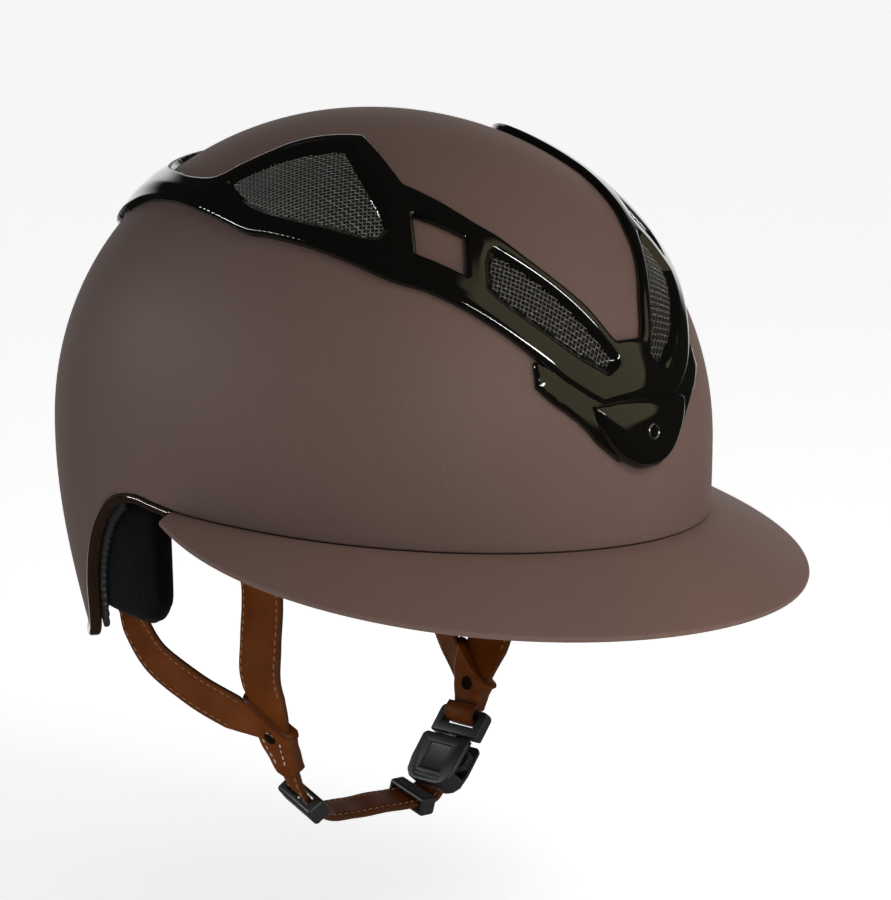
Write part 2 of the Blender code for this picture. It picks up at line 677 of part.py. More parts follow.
def add_anchor(name, top, tab, liner, parts, cutters, width):
    """A steel plate in a pocket of the liner, riveted through the top of the strap's tab."""
    side = 1 if top.x > 0 else -1
    plate_centre = top + Vector((side * 2.4 * MM, 0, 0))
    bm = bmesh.new()
    half = Vector((0.8 * MM, width / 2, 8 * MM))
    box(bm, -half, half)
    plate = finish_mesh(bm, name + "_anchor", STEEL, parts)
    plate.location = plate_centre
    axis = Vector((1, 0, 0))
    middle = top + Vector((side * 1.1 * MM, 0, 0))
    add_rivet(name + "_anchor_rivet", middle, axis, parts, length=6.0)
    for target in (tab, plate):
        hole = round_cutter("hole_" + target.name, middle, axis, 1.9 * MM, 12 * MM, cutters)
        cut(target, hole)
    pocket_size = (24 * MM, width + 5 * MM, 38 * MM)
    pocket_centre = top - Vector((side * 3.5 * MM, 0, 8 * MM))
    cut(liner, box_cutter("pocket_" + name, pocket_centre, pocket_size, cutters))


def sided(points, side):
    """Strap points given for positive X, placed on either side."""
    return [(side * x, y, z) for x, y, z in points]


def add_side_harness(side, word, liner, parts, cutters):
    rear_hint = (side * 0.1, 0.75, 0.66)
    front_tab = ribbon("front_strap_tab_" + word, sided(FRONT_TAB, side), FRONT_STRAP_WIDTH,
                       LEATHER, parts)
    rear_tab = ribbon("rear_strap_tab_" + word, sided(REAR_TAB, side), REAR_STRAP_WIDTH,
                      LEATHER, parts, (0, 1, 0.1))
    ribbon("front_strap_" + word, sided(FRONT_STRAP, side), FRONT_STRAP_WIDTH, LEATHER,
           parts)
    ribbon("rear_strap_" + word, sided(REAR_STRAP, side), REAR_STRAP_WIDTH, LEATHER, parts,
           rear_hint)
    front_top = Vector(sided(FRONT_TAB, side)[0]) * MM - Vector((0, 0, 6 * MM))
    rear_top = Vector(sided(REAR_TAB, side)[0]) * MM - Vector((0, 0, 5 * MM))
    add_anchor("front_" + word, front_top, front_tab, liner, parts, cutters, 20 * MM)
    add_anchor("rear_" + word, rear_top, rear_tab, liner, parts, cutters, 14 * MM)
    path = sided(JUNCTION_LEFT if side > 0 else JUNCTION_RIGHT, side)
    junction = ribbon("strap_junction_" + word, path, 19 * MM, LEATHER, parts, (0, 1, 0),
                      thickness=6 * MM)
    start, middle, end = path
    middle = Vector(middle) * MM
    run = (Vector(end) - Vector(start)).normalized()
    axis = run.cross(Vector((0, 1, 0))).normalized()
    hole = round_cutter("hole_junction_" + word, middle, axis, 1.9 * MM, 14 * MM, cutters)
    cut(junction, hole)
    add_rivet("junction_rivet_" + word, middle, axis, parts, head=3.4, length=7.4)


def buckle_frame():
    """Directions of the buckle: into the receiver, across it, and through its thickness."""
    lever = BUCKLE_MOUTH - STRAP_PIVOT
    lever.y = 0
    through = lever.normalized()
    across = Vector((0, 1, 0))
    inwards = through.cross(across).normalized()
    if inwards.z > 0:
        inwards = -inwards
    return inwards, across, through


def buckle_block(name, low, high, kind, collection):
    """A block in buckle coordinates: (inwards, across, through)."""
    inwards, across, _ = buckle_frame()
    bm = bmesh.new()
    box(bm, low, high)
    return oriented(bm, name, kind, collection, BUCKLE_MOUTH, inwards, across)


def soften(obj, width):
    bevel = obj.modifiers.new("soft_edges", "BEVEL")
    bevel.width = width
    bevel.segments = 2
    bevel.limit_method = "ANGLE"
    return obj


def buckle_point(inwards, across, through):
    along, sideways, normal = buckle_frame()
    third = along.cross(sideways).normalized()
    return BUCKLE_MOUTH + along * inwards + sideways * across + third * through


def add_receiver(parts, cutters):
    half_wide = BUCKLE_WIDTH / 2
    half_thick = BUCKLE_THICKNESS / 2
    low = (0.3 * MM, -half_wide, -half_thick)
    receiver = buckle_block("buckle_receiver", low, (BUCKLE_DEPTH, half_wide, half_thick),
                            BUCKLE_PLASTIC, parts)
    soften(receiver, 1.6 * MM)
    room = PLUG_THICKNESS / 2 + PLUG_CLEARANCE
    mouth_half = half_wide - 2.6 * MM
    cavity = buckle_block("cavity_receiver", (-2 * MM, -mouth_half, -room),
                          (17.5 * MM, mouth_half, room), STEEL, cutters)
    cut(receiver, cavity)
    side_slot = buckle_block("side_slots_receiver", (-2 * MM, -half_wide - 3 * MM, -room),
                             (14.5 * MM, half_wide + 3 * MM, room), STEEL, cutters)
    cut(receiver, side_slot)
    return receiver


def add_plug(parts, cutters):
    """The plug: a strap bar and a guide tongue, with two prongs hinged beside the tongue."""
    half = PLUG_THICKNESS / 2
    wide = BUCKLE_WIDTH / 2
    plug = buckle_block("buckle_plug", (-13 * MM, -wide, -half - 0.6 * MM),
                        (-1.2 * MM, wide, half + 0.6 * MM), BUCKLE_PLASTIC, parts)
    tongue = buckle_block("tongue_of_plug", (-4 * MM, -2.2 * MM, -half),
                          (14 * MM, 2.2 * MM, half), BUCKLE_PLASTIC, cutters)
    join = plug.modifiers.new("tongue", "BOOLEAN")
    join.operation = "UNION"
    join.object = tongue
    tongue.hide_render = True
    tongue.display_type = "WIRE"
    slot = buckle_block("strap_slot_of_plug", (-10.4 * MM, -8.6 * MM, -8 * MM),
                        (-5.4 * MM, 8.6 * MM, 8 * MM), STEEL, cutters)
    cut(plug, slot)
    for side, word in ((-1, "front"), (1, "rear")):
        add_prong(side, word, parts)
    return plug


def add_prong(side, word, parts):
    """A prong with its release button bulging past the receiver's side."""
    half = PLUG_THICKNESS / 2
    inner = BUCKLE_WIDTH / 2 - 2.6 * MM - PRONG_WIDTH - 1.4 * MM
    outline = ((-0.8, 0.0), (13.8, 0.0), (13.8, 2.2), (11.6, 4.6), (9.0, 8.2), (4.6, 8.2),
               (3.4, 3.4), (-0.8, 3.4))
    bm = bmesh.new()
    faces = []
    for level in (-half, half):
        faces.append([bm.verts.new((a * MM, side * (inner + b * MM), level)) for a, b in outline])
    count = len(outline)
    bm.faces.new(faces[0])
    bm.faces.new(faces[1])
    for k in range(count):
        n = (k + 1) % count
        bm.faces.new((faces[0][k], faces[0][n], faces[1][n], faces[1][k]))
    inwards, across, _ = buckle_frame()
    prong = oriented(bm, "plug_prong_" + word, BUCKLE_PLASTIC, parts, BUCKLE_MOUTH, inwards, across)
    pivot = buckle_point(-0.8 * MM, side * (inner + 1.7 * MM), 0.0)
    prong.data.transform(Matrix.Translation(-pivot))
    prong.location = pivot
    return prong


def strap_loop(name, place, direction, hole, body, kind, parts, cutters, shift=0.0):
    """A plastic loop round the chin strap: hole and body are (across, through) sizes."""
    along = Vector((direction[0], 0, direction[1])).normalized()
    lean = Vector(CHIN_STRAP_LEAN)
    across = (lean - along * lean.dot(along)).normalized()
    third = along.cross(across).normalized()
    origin = Vector((place[0], 1.0, place[1])) * MM + third * shift
    bm = bmesh.new()
    box(bm, (-body[0] / 2, -body[1] / 2, -body[2] / 2), (body[0] / 2, body[1] / 2, body[2] / 2))
    loop = oriented(bm, name, kind, parts, origin, along, across)
    soften(loop, 1.0 * MM)
    bm = bmesh.new()
    box(bm, (-body[0], -hole[0] / 2, -hole[1] / 2), (body[0], hole[0] / 2, hole[1] / 2))
    centre = Vector((place[0], 1.0, place[1])) * MM
    cut(loop, oriented(bm, "hole_" + name, STEEL, cutters, centre, along, across))
    return loop


def add_chin_parts(parts, cutters):
    path = [(x, 1.0, z) for x, z in CHIN_STRAP]
    ribbon("chin_strap", path, CHIN_STRAP_WIDTH, LEATHER, parts, CHIN_STRAP_LEAN)
    run = (CHIN_STRAP[3][0] - CHIN_STRAP[1][0], CHIN_STRAP[3][1] - CHIN_STRAP[1][1])
    opening = (CHIN_STRAP_WIDTH + 1.2 * MM, STRAP_THICKNESS + 2.2 * MM)
    strap_loop("strap_slider", SLIDER_PLACE, run, opening, (7.5 * MM, 25 * MM, 8 * MM),
               BUCKLE_PLASTIC, parts, cutters, shift=-0.7 * MM)
    strap_loop("strap_keeper", (20.5, -120.35), (1, -0.02), opening, (7 * MM, 20 * MM, 7.4 * MM),
               BUCKLE_PLASTIC, parts, cutters)
    add_receiver(parts, cutters)
    add_plug(parts, cutters)
    loop_path = [buckle_point(a * MM, 0, b * MM) / MM for a, b in PLUG_LOOP]
    ribbon("plug_strap_loop", loop_path, 15 * MM, LEATHER, parts, (0, 1, 0), pieces=2,
           thickness=1.5 * MM)


def carry(name, place, members, collection):
    """An empty that carries objects whose shapes stay where they are."""
    empty = bpy.data.objects.new(name, None)
    empty.location = place
    collection.objects.link(empty)
    for member in members:
        member.parent = empty
        member.matrix_parent_inverse = Matrix.Translation(-Vector(place))
    return empty


def set_down(parts, cutters):
    """Hangs every part from the rim's empty, and the swinging parts from their own pivots."""
    objects = bpy.data.objects
    harness = [objects[name] for name in CHIN_HARNESS]
    carry("chin_harness_pivot", STRAP_PIVOT, harness, parts)
    carry("rear_strap_pivot", REAR_STRAP_PIVOT, [objects["rear_strap_right"]], parts)
    loose = [obj for obj in [*parts.objects, *cutters.objects] if obj.parent is None]
    rim = bpy.data.objects.new("rim_plane", None)
    rim.location.z = -CROWN_PAD_FLOOR
    parts.objects.link(rim)
    for obj in loose:
        obj.parent = rim


def main():
    clear_scene()
    parts = new_collection("riding_helmet")
    cutters = new_collection("cutters")
    cutters.hide_render = True
    liner = add_outer_parts(parts, cutters)
    add_visor(parts)
    add_rim_trim(parts)
    add_pads(parts)
    for side, word in ((-1, "right"), (1, "left")):
        add_side_harness(side, word, liner, parts, cutters)
    add_chin_parts(parts, cutters)
    set_down(parts, cutters)
    bpy.context.view_layer.update()


main()
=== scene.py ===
"""Riding helmet looks: matt shell, gloss vent frame, woven vents, leather harness, buckle."""

import itertools
import math

import bmesh
import bpy
import numpy as np
from mathutils import Matrix, Vector


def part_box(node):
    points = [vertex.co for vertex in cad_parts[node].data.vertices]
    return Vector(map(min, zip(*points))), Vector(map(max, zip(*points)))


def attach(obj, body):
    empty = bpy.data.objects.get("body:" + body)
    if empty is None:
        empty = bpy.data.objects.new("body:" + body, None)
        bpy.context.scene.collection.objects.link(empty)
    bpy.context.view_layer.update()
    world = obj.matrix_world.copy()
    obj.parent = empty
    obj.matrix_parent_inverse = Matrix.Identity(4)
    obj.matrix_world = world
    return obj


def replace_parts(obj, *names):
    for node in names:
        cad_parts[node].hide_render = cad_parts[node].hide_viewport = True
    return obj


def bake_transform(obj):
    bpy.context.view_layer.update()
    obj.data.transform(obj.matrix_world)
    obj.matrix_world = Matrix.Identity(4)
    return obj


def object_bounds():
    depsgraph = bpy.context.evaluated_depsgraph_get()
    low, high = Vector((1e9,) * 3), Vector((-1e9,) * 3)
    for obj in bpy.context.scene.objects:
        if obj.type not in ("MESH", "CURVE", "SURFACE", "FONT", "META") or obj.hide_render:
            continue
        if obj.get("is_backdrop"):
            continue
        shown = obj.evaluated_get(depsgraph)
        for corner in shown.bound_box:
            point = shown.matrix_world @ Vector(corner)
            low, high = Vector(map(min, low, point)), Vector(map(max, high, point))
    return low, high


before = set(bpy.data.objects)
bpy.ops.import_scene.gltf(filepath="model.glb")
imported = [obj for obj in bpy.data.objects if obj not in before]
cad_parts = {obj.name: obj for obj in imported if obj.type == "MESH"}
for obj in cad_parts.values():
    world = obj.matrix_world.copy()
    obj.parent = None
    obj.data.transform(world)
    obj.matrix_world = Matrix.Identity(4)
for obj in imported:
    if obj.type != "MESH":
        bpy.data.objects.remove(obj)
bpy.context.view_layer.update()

MM = 0.001
SIDES = ((-1, "right"), (1, "left"))

# The skull form, in metres, drawn from the middle of the rim plane.
RIM_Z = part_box("crown_pad")[0].z - 105.0 * MM
RIM = Vector((0, 0, RIM_Z))
CENTRE_Z = 26.3 * MM
HALF_WIDTH = 110.0 * MM
FRONT_LENGTH = 136.5 * MM
BACK_LENGTH = 131.5 * MM
CROWN_RISE = 117.3 * MM
DROP_FRONT = 306.0 * MM
DROP_SIDE = 270.0 * MM
DROP_BACK = 128.0 * MM
ROUNDNESS = 2.04

EAR_CUT = ((88, 10.2), (93, 11.6), (97.5, 10.9), (101.5, 8.7), (104.7, 4.5), (108.6, -3.5),
           (112, -14.6), (114.6, -27), (116.2, -38), (118.5, -44.5), (124, -47), (135, -46.5),
           (150, -42), (165, -32), (180, -24))
SEAM_RISE = 9.5                  # millimetres: how high the visor seam has climbed at azimuth 90

# The visor's width shrinks from the middle to nothing at its vanishing azimuth; degrees.
VISOR_WIDTH = 44.15 * MM
VISOR_END = 83
VISOR_VANISH = 92
VISOR_SLOPE = 20.7
VISOR_SLOPE_RISE = 10.2

# Azimuths where the gloss lip starts and where the neck edging starts and ends, in degrees.
TRIM_START = 83.4
NECK_EDGE = (101, 117.3)

# Vent frame outlines in degrees of arc from the crown (sideways, forwards); True marks a corner.
FRAME_OUTER = ((0, 80), (10.5, 79.9, True), (14, 77.5), (18.3, 73.7), (22.5, 67.9), (26.4, 61.8),
               (29.5, 56.7), (33.4, 50.3), (37.5, 43.8), (40.7, 34.2), (43, 25.4), (44.6, 18.4),
               (45.7, 11.4), (43.9, -0.9), (41.2, -11.2), (37.2, -24), (31, -40), (21, -53),
               (0, -58))
FRAME_INNER = ((0, 71), (2.2, 71, True), (4.1, 70.3), (7.3, 65), (11.1, 59.5), (13.9, 54.8),
               (16.1, 49.7), (18.4, 45), (20.5, 38.4), (22.5, 31.7, True), (20.7, 25.8),
               (17.2, 15.8, True), (19.3, 11.8), (21.8, 8.2), (24.8, 5.1), (28.4, 2.5),
               (32.2, -0.8), (35.4, -4.1), (35.6, -9), (33.4, -16.2), (27, -27), (16, -35),
               (0, -38))
REAR_MESH = ((36.8, 1, True), (33.2, 3.8), (29.5, 7.3), (25.7, 12.2), (22.7, 16.5, True),
             (25.9, 23), (28.3, 28.7), (30.5, 34.2), (31.8, 36.5, True), (33.3, 36.6, True),
             (35.1, 33.4), (37.1, 27.7), (38.9, 21.9), (40.1, 15.1), (39.7, 8.9), (38.1, 4))
SIDE_WINDOW = ((25.9, 37.9, True), (21.5, 46.7, True), (25.9, 52.5, True), (30.5, 44.4, True))
FRONT_MESH = ((19.1, 52.1, True), (5.8, 73.7, True), (7.6, 74.3, True), (13, 70.5), (17.8, 65),
              (21.4, 59.6), (22.7, 56.4, True), (20.4, 53.1, True))
EXHAUST_MESH = ((0, -42.5), (13, -41.3, True), (16, -44), (11, -51.5, True), (0, -53))
BROW_PLATE = ((0, 78), (10, 77), (17.5, 73), (22.2, 69.3, True), (23.6, 73.2, True),
              (21, 76.6), (15.7, 81.6), (12.6, 85), (8, 88.2, True), (0, 89.2))
BOSS = ((0, 79.6), (13.5, 79.0, True), (12.4, 83), (8.8, 87.2), (4, 89.5), (0, 90))

# Harness centre lines in millimetres, on the wearer's left; they mirror to the right.
FRONT_STRAP = ((83.0, -8, 36), (82.6, -8, 24), (80.5, -8, 8), (76, -8, -4), (70.2, -7.6, -14),
               (62.9, -7, -24), (60.8, -6, -34), (60.4, -4.4, -48), (59.2, -2.8, -61),
               (53.2, -1.6, -75), (50, 0, -83))
REAR_STRAP = ((82, 53, 10), (80.5, 53, -14), (77.5, 51.5, -34.5), (76.2, 50, -41),
              (75, 48.5, -48), (71.5, 41, -59.5), (65, 27.5, -69.5), (58, 13.5, -77),
              (53, 4, -82), (51.4, 1.5, -84.5))
JUNCTION_RIGHT = ((52.4, -0.6, -76.5), (50.6, 0, -80.5), (47.0, 0.8, -87.5), (41.6, 1, -98))
JUNCTION_LEFT = ((53.2, -1, -72.5), (52.6, 0, -78), (52.2, 1, -84), (51.2, 1, -90.2))
CHIN_STRAP = ((-44.5, -91), (-42.2, -97.5), (-38.4, -106.4), (-34.0, -111.2), (-29.8, -115.7),
              (-23, -118.2), (-13, -119.0), (0, -119.4), (13, -120), (22, -120.2),
              (26.6, -120.0), (29.3, -118.4), (30.7, -116.4))
CHIN_LEAN = (0.16, 0.96, 0.26)
STRAP_THICK = 2.1 * MM
STITCH_INSET = 1.9 * MM          # from a strap's edge to its row of stitches
STRAP_PIVOT = Vector((-70.0, 0.0, -14.0)) * MM
REAR_PIVOT = Vector((-77.05, 51.05, -36.05)) * MM

# The buckle: its mouth; then, in millimetres, half its width, how far from the middle a prong's
# inner side lies, and a prong's (along, across) outline.
BUCKLE_MOUTH = Vector((42.6, 1.0, -101.6)) * MM
BUCKLE_HALF = 12.5
PRONG_ROOT = BUCKLE_HALF - 2.6 - 3.4 - 1.4
PRONG = ((-0.8, 0.0), (13.8, 0.0), (13.8, 2.2), (12.4, 3.9), (11.4, 5.9), (10.4, 7.6),
         (9.2, 8.25), (6.8, 8.3), (4.9, 8.0), (4.1, 6.6), (3.8, 4.6), (3.2, 3.4), (-0.8, 3.4))

# The solved camera: azimuth and elevation in degrees, focal length in mm, distance in metres.
CAMERA_TURN = (-42.757, 8.951)
CAMERA_LENS = 143.04
CAMERA_SHIFT = (0.0790, -0.0244)
CAMERA_AIM = 24.5 * MM
CAMERA_REACH = 1.3308
FLOOR_DROP = 32.0 * MM           # leaves room under the helmet for the opened chin strap


# --- The skull form ---

def half_axes(azimuth, offset):
    """Half-axes (width, length, drop) of the form at each azimuth."""
    backwards = -np.cos(azimuth)
    share = backwards**2
    behind = backwards > 0
    length = np.where(behind, BACK_LENGTH, FRONT_LENGTH)
    drop_back = DROP_SIDE + (DROP_BACK - DROP_SIDE) * share * (3 - 2 * np.abs(backwards))
    drop_front = DROP_SIDE + (DROP_FRONT - DROP_SIDE) * share
    drop = np.where(behind, drop_back, drop_front)
    return HALF_WIDTH + offset, length + offset, drop + offset


def wall_radius(azimuth, z, offset):
    width, length, drop = half_axes(azimuth, offset)
    rise = z - CENTRE_Z
    vertical = np.where(rise > 0, CROWN_RISE + offset, drop)
    flat = np.hypot(np.sin(azimuth) / width, np.cos(azimuth) / length)
    rest = np.clip(1 - np.abs(rise / vertical) ** ROUNDNESS, 0, 1)
    return rest ** (1 / ROUNDNESS) / flat


def wall_points(azimuth, z, offset):
    """Points of the form at azimuths and heights above the rim plane."""
    azimuth, z = np.broadcast_arrays(np.asarray(azimuth, float), np.asarray(z, float))
    radius = wall_radius(azimuth, z, offset)
    return np.stack([radius * np.sin(azimuth), -radius * np.cos(azimuth), z + RIM_Z], -1)


def dome_points(azimuth, polar, offset):
    """Points of the form along directions measured from the crown."""
    width, length, drop = half_axes(azimuth, offset)
    vertical = np.where(np.cos(polar) > 0, CROWN_RISE + offset, drop)
    flat = np.sin(polar) * np.hypot(np.sin(azimuth) / width, np.cos(azimuth) / length)
    upright = np.abs(np.cos(polar)) / vertical
    radius = (flat**ROUNDNESS + upright**ROUNDNESS) ** (-1 / ROUNDNESS)
    level = radius * np.sin(polar)
    height = CENTRE_Z + radius * np.cos(polar) + RIM_Z
    return np.stack([level * np.sin(azimuth), -level * np.cos(azimuth), height], -1)


def map_points(u, v, height):
    """Points over the form for map coordinates in degrees of arc from the crown."""
    return dome_points(np.arctan2(u, v), np.radians(np.maximum(np.hypot(u, v), 1e-6)), height)


def smooth_curve(points, pieces):
    """Catmull-Rom curve through points."""
    control = [np.array(point, float) for point in points]
    control = [2 * control[0] - control[1], *control, 2 * control[-1] - control[-2]]
    found = []
    for before, start, end, after in zip(control, control[1:], control[2:], control[3:]):
        for step in range(pieces):
            t = step / pieces
            bend = 2 * before - 5 * start + 4 * end - after
            twist = 3 * (start - end) + after - before
            found.append(start + 0.5 * ((end - before) * t + bend * t**2 + twist * t**3))
    found.append(control[-2])
    return np.array(found)


def evenly(points, count, values=None):
    """The points of a polyline, or values given at them, at count even steps along it."""
    steps = np.linalg.norm(np.diff(points, axis=0), axis=1)
    lengths = np.concatenate([[0], np.cumsum(steps)])
    wanted = np.linspace(0, lengths[-1], count)
    columns = (points if values is None else values).T
    return np.stack([np.interp(wanted, lengths, column) for column in columns], -1)


def rim_path(count):
    """(azimuth, height) evenly along half of the shell's lower edge, brow to nape."""
    seam = [(a, SEAM_RISE * (1 - math.cos(math.radians(a)))) for a in range(0, 81, 10)]
    dense = smooth_curve(seam + list(EAR_CUT), 12)
    azimuth, height = np.radians(dense[:, 0]), dense[:, 1] * MM
    points = wall_points(azimuth, height, 0.0)
    return evenly(points, count, np.stack([azimuth, height], -1)).T


# --- Mesh makers ---

def soften(mesh, angle=None):
    """Shades a mesh smooth, except where its faces meet at more than the angle."""
    mesh.shade_smooth()
    if angle is not None:
        mesh.set_sharp_from_angle(angle=math.radians(angle))


def finished(name, mesh, mat, angle=None):
    """Puts a softened mesh in the scene."""
    soften(mesh, angle)
    mesh.materials.append(mat)
    obj = bpy.data.objects.new(name, mesh)
    bpy.context.scene.collection.objects.link(obj)
    return obj


def new_object(name, vertices, faces, mat, angle=None):
    mesh = bpy.data.meshes.new(name)
    mesh.from_pydata([tuple(v) for v in vertices], [], [tuple(f) for f in faces])
    mesh.validate()
    bm = bmesh.new()
    bm.from_mesh(mesh)
    bmesh.ops.recalc_face_normals(bm, faces=bm.faces)
    if bm.calc_volume(signed=True) < 0:
        bmesh.ops.reverse_faces(bm, faces=bm.faces)
    bm.to_mesh(mesh)
    bm.free()
    return finished(name, mesh, mat, angle)


def fitted(obj, finish, *nodes, body="helmet"):
    """Rides a body and stands in for the CAD nodes it covers; finish is not used."""
    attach(obj, body)
    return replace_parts(obj, *nodes) if nodes else obj


def band_faces(rows, count, base=0, closed=False):
    """Quads between neighbouring rings of count points each."""
    faces = []
    for row in range(rows if closed else rows - 1):
        near, far = base + row * count, base + (row + 1) % rows * count
        for index in range(count):
            after = (index + 1) % count
            faces.append((near + index, near + after, far + after, far + index))
    return faces


def tube_faces(rows, count, base=0):
    """The same with a cap on both end rings."""
    last = base + (rows - 1) * count
    caps = [tuple(range(base, base + count)), tuple(reversed(range(last, last + count)))]
    return band_faces(rows, count, base) + caps


def skin(name, rings, mat, closed=False, angle=None, values=None):
    """A skin over rings of equal length; values fills the 'edge' attribute."""
    rings = np.asarray(rings, float)
    rows, count = rings.shape[:2]
    faces = band_faces(rows, count, closed=True) if closed else tube_faces(rows, count)
    obj = new_object(name, rings.reshape(-1, 3), faces, mat, angle)
    if values is not None:
        attribute = obj.data.attributes.new("edge", "FLOAT", "POINT")
        attribute.data.foreach_set("value", np.asarray(values, np.float32).ravel())
    return obj


def bowl(name, azimuth, height, outside, inside, roll, rows, turns, mat):
    """A bowl between two offsets of the form, with a rolled lower edge; rows is (out, in)."""
    def ring(offset, share, lift):
        edge = wall_radius(azimuth, height + lift, offset)
        reach = np.arctan2(edge, height + lift - CENTRE_Z)
        return dome_points(azimuth, reach * share, offset)

    rings = [ring(outside, row / rows[0], roll) for row in range(1, rows[0] + 1)]
    for wall, sign, edge_turns in ((outside, -1, turns[1:]), (inside, 1, turns[::-1])):
        for turn in edge_turns:
            angle = math.radians(turn)
            offset = wall + sign * roll * (1 - math.cos(angle))
            rings.append(ring(offset, 1.0, roll * (1 - math.sin(angle))))
    rings += [ring(inside, row / rows[1], roll) for row in range(rows[1] - 1, 0, -1)]
    count = len(azimuth)
    vertices = [point for points in rings for point in points]
    faces = band_faces(len(rings), count)
    for row, offset in ((0, outside), (len(rings) - 1, inside)):
        crown = len(vertices)
        vertices.append(dome_points(np.array(0.0), np.array(1e-6), offset))
        for index in range(count):
            faces.append((crown, row * count + index, row * count + (index + 1) % count))
    return new_object(name, vertices, faces, mat)


def arc(start, stop, count, across, up=None, centre=(0.0, 0.0)):
    """Points of an arc between two angles in degrees, from its half-axes across and up."""
    turns = np.radians(np.linspace(start, stop, count))
    up = across if up is None else up
    return [(centre[0] + across * math.cos(t), centre[1] + up * math.sin(t)) for t in turns]


def rounded_box_section(width, thick, radius, steps=4):
    """Closed outline of a rounded rectangle as (across, through) pairs."""
    found = []
    for sx, sy, start in ((1, 1, 0), (-1, 1, 90), (-1, -1, 180), (1, -1, 270)):
        centre = (sx * (width / 2 - radius), sy * (thick / 2 - radius))
        found += arc(start, start + 90, steps + 1, radius, centre=centre)
    return np.array(found)


def unit(rows):
    """Rows scaled to length one."""
    return rows / np.linalg.norm(rows, axis=1)[:, None]


def square_to(rows, tangents):
    """Unit directions nearest to rows and square to tangents."""
    return unit(rows - tangents * (rows * tangents).sum(1)[:, None])


def frames_along(points, hint):
    """Tangent, side and normal directions along a path; a Vector hint is where its face looks."""
    tangents = unit(np.gradient(points, axis=0))
    hints = np.broadcast_to(np.asarray(hint, float), points.shape)
    if isinstance(hint, Vector):
        hints = np.cross(hints, tangents)
    sides = square_to(hints, tangents)
    return tangents, sides, np.cross(tangents, sides)


def outline(points, mirrored=False):
    """Dense closed outline from points; smooth between the ones marked as corners."""
    points = list(points)
    if mirrored:
        points += [(-p[0], *p[1:]) for p in reversed(points) if p[0] > 0]
    first = next(k for k, p in enumerate(points) if len(p) > 2)
    order = points[first:] + points[:first]
    found, run = [], [order[0][:2]]
    for point in [*order[1:], order[0]]:
        run.append(point[:2])
        if len(point) > 2:
            piece = smooth_curve(run, 6) if len(run) > 2 else np.array(run, float)
            found.extend(piece[:-1])
            run = [point[:2]]
    return np.array(found)


def signed_distance(points, loop):
    """Distance of points to a closed outline, negative inside."""
    starts, ends = loop, np.roll(loop, -1, axis=0)
    best = np.full(len(points), 1e9)
    inside = np.zeros(len(points), bool)
    for a, b in zip(starts, ends):
        edge = b - a
        share = np.clip(((points - a) @ edge) / max(edge @ edge, 1e-12), 0, 1)
        gap = points - a - share[:, None] * edge
        best = np.minimum(best, (gap**2).sum(1))
        straddles = (a[1] > points[:, 1]) != (b[1] > points[:, 1])
        if straddles.any() and b[1] != a[1]:
            cross = a[0] + (points[:, 1] - a[1]) / (b[1] - a[1]) * (b[0] - a[0])
            inside ^= straddles & (points[:, 0] < cross)
    return np.sqrt(best) * np.where(inside, -1, 1)


def field_plate(name, loop, holes, cell, top, bottom, mat):
    """A plate on the form whose top height is a function of its distances to each outline."""
    low, high = loop.min(0) - cell, loop.max(0) + cell
    nu, nv = (np.ceil((high - low) / cell) + 1).astype(int)
    u, v = np.meshgrid(low[0] + cell * np.arange(nu), low[1] + cell * np.arange(nv), indexing="ij")
    flat = np.stack([u.ravel(), v.ravel()], -1)

    def fields(places):
        outer = signed_distance(places, loop)
        inner = [-signed_distance(places, hole) for hole in holes]
        return outer, inner

    def region(places):
        outer, inner = fields(places)
        return np.max([outer, *inner], axis=0) if inner else outer

    distance = region(flat)
    near = np.abs(distance) < 0.5 * cell * 1.02
    step = cell * 0.05
    for _ in range(2):
        spot = flat[near]
        slope_u = region(spot + [step, 0]) - region(spot - [step, 0])
        slope_v = region(spot + [0, step]) - region(spot - [0, step])
        slope = np.stack([slope_u, slope_v], -1) / (2 * step)
        size = np.maximum((slope**2).sum(1), 0.25)
        flat[near] = spot - slope * (region(spot) / size)[:, None]
    keep = (distance < 0) | near
    index = np.arange(nu * nv).reshape(nu, nv)
    quads = np.stack([index[:-1, :-1], index[1:, :-1], index[1:, 1:], index[:-1, 1:]], -1)
    faces = []
    for quad in quads.reshape(-1, 4):
        held = [k for k in quad if keep[k]]
        if len(held) >= 3 and not all(near[k] for k in held):
            faces.append(held)
    used = sorted({k for face in faces for k in face})
    place = {old: new for new, old in enumerate(used)}
    spots = flat[used]
    outer, inner = fields(spots)
    heights = top(spots, -outer, [-d for d in inner])
    upper = map_points(spots[:, 0], spots[:, 1], heights)
    lower = map_points(spots[:, 0], spots[:, 1], np.full(len(spots), bottom))
    faces = [[place[k] for k in face] for face in faces]
    count = len(used)
    edges = {}
    for face in faces:
        for a, b in zip(face, face[1:] + face[:1]):
            edges[(a, b)] = True
    walls = [(b, a, a + count, b + count) for a, b in edges if (b, a) not in edges]
    under = [[k + count for k in reversed(face)] for face in faces]
    return new_object(name, np.concatenate([upper, lower]), faces + under + walls, mat, angle=50)


def level(height):
    """A plate top of one height."""
    return lambda spots, outer, inner: np.full(len(spots), height)


def ease(x):
    x = np.clip(x, 0, 1)
    return x * x * (3 - 2 * x)


def rounded_edge(distance, radius):
    """How far below the top a rounded edge lies, from 1 at the edge to 0 inside its radius."""
    share = np.clip(distance / radius, 0, 1)
    return 1 - np.sqrt(1 - (1 - share) ** 2)


# --- Materials ---

def node(tree, kind, **values):
    made = tree.nodes.new(kind)
    for key, value in values.items():
        if key in made.inputs:
            made.inputs[key].default_value = value
        else:
            setattr(made, key, value)
    return made


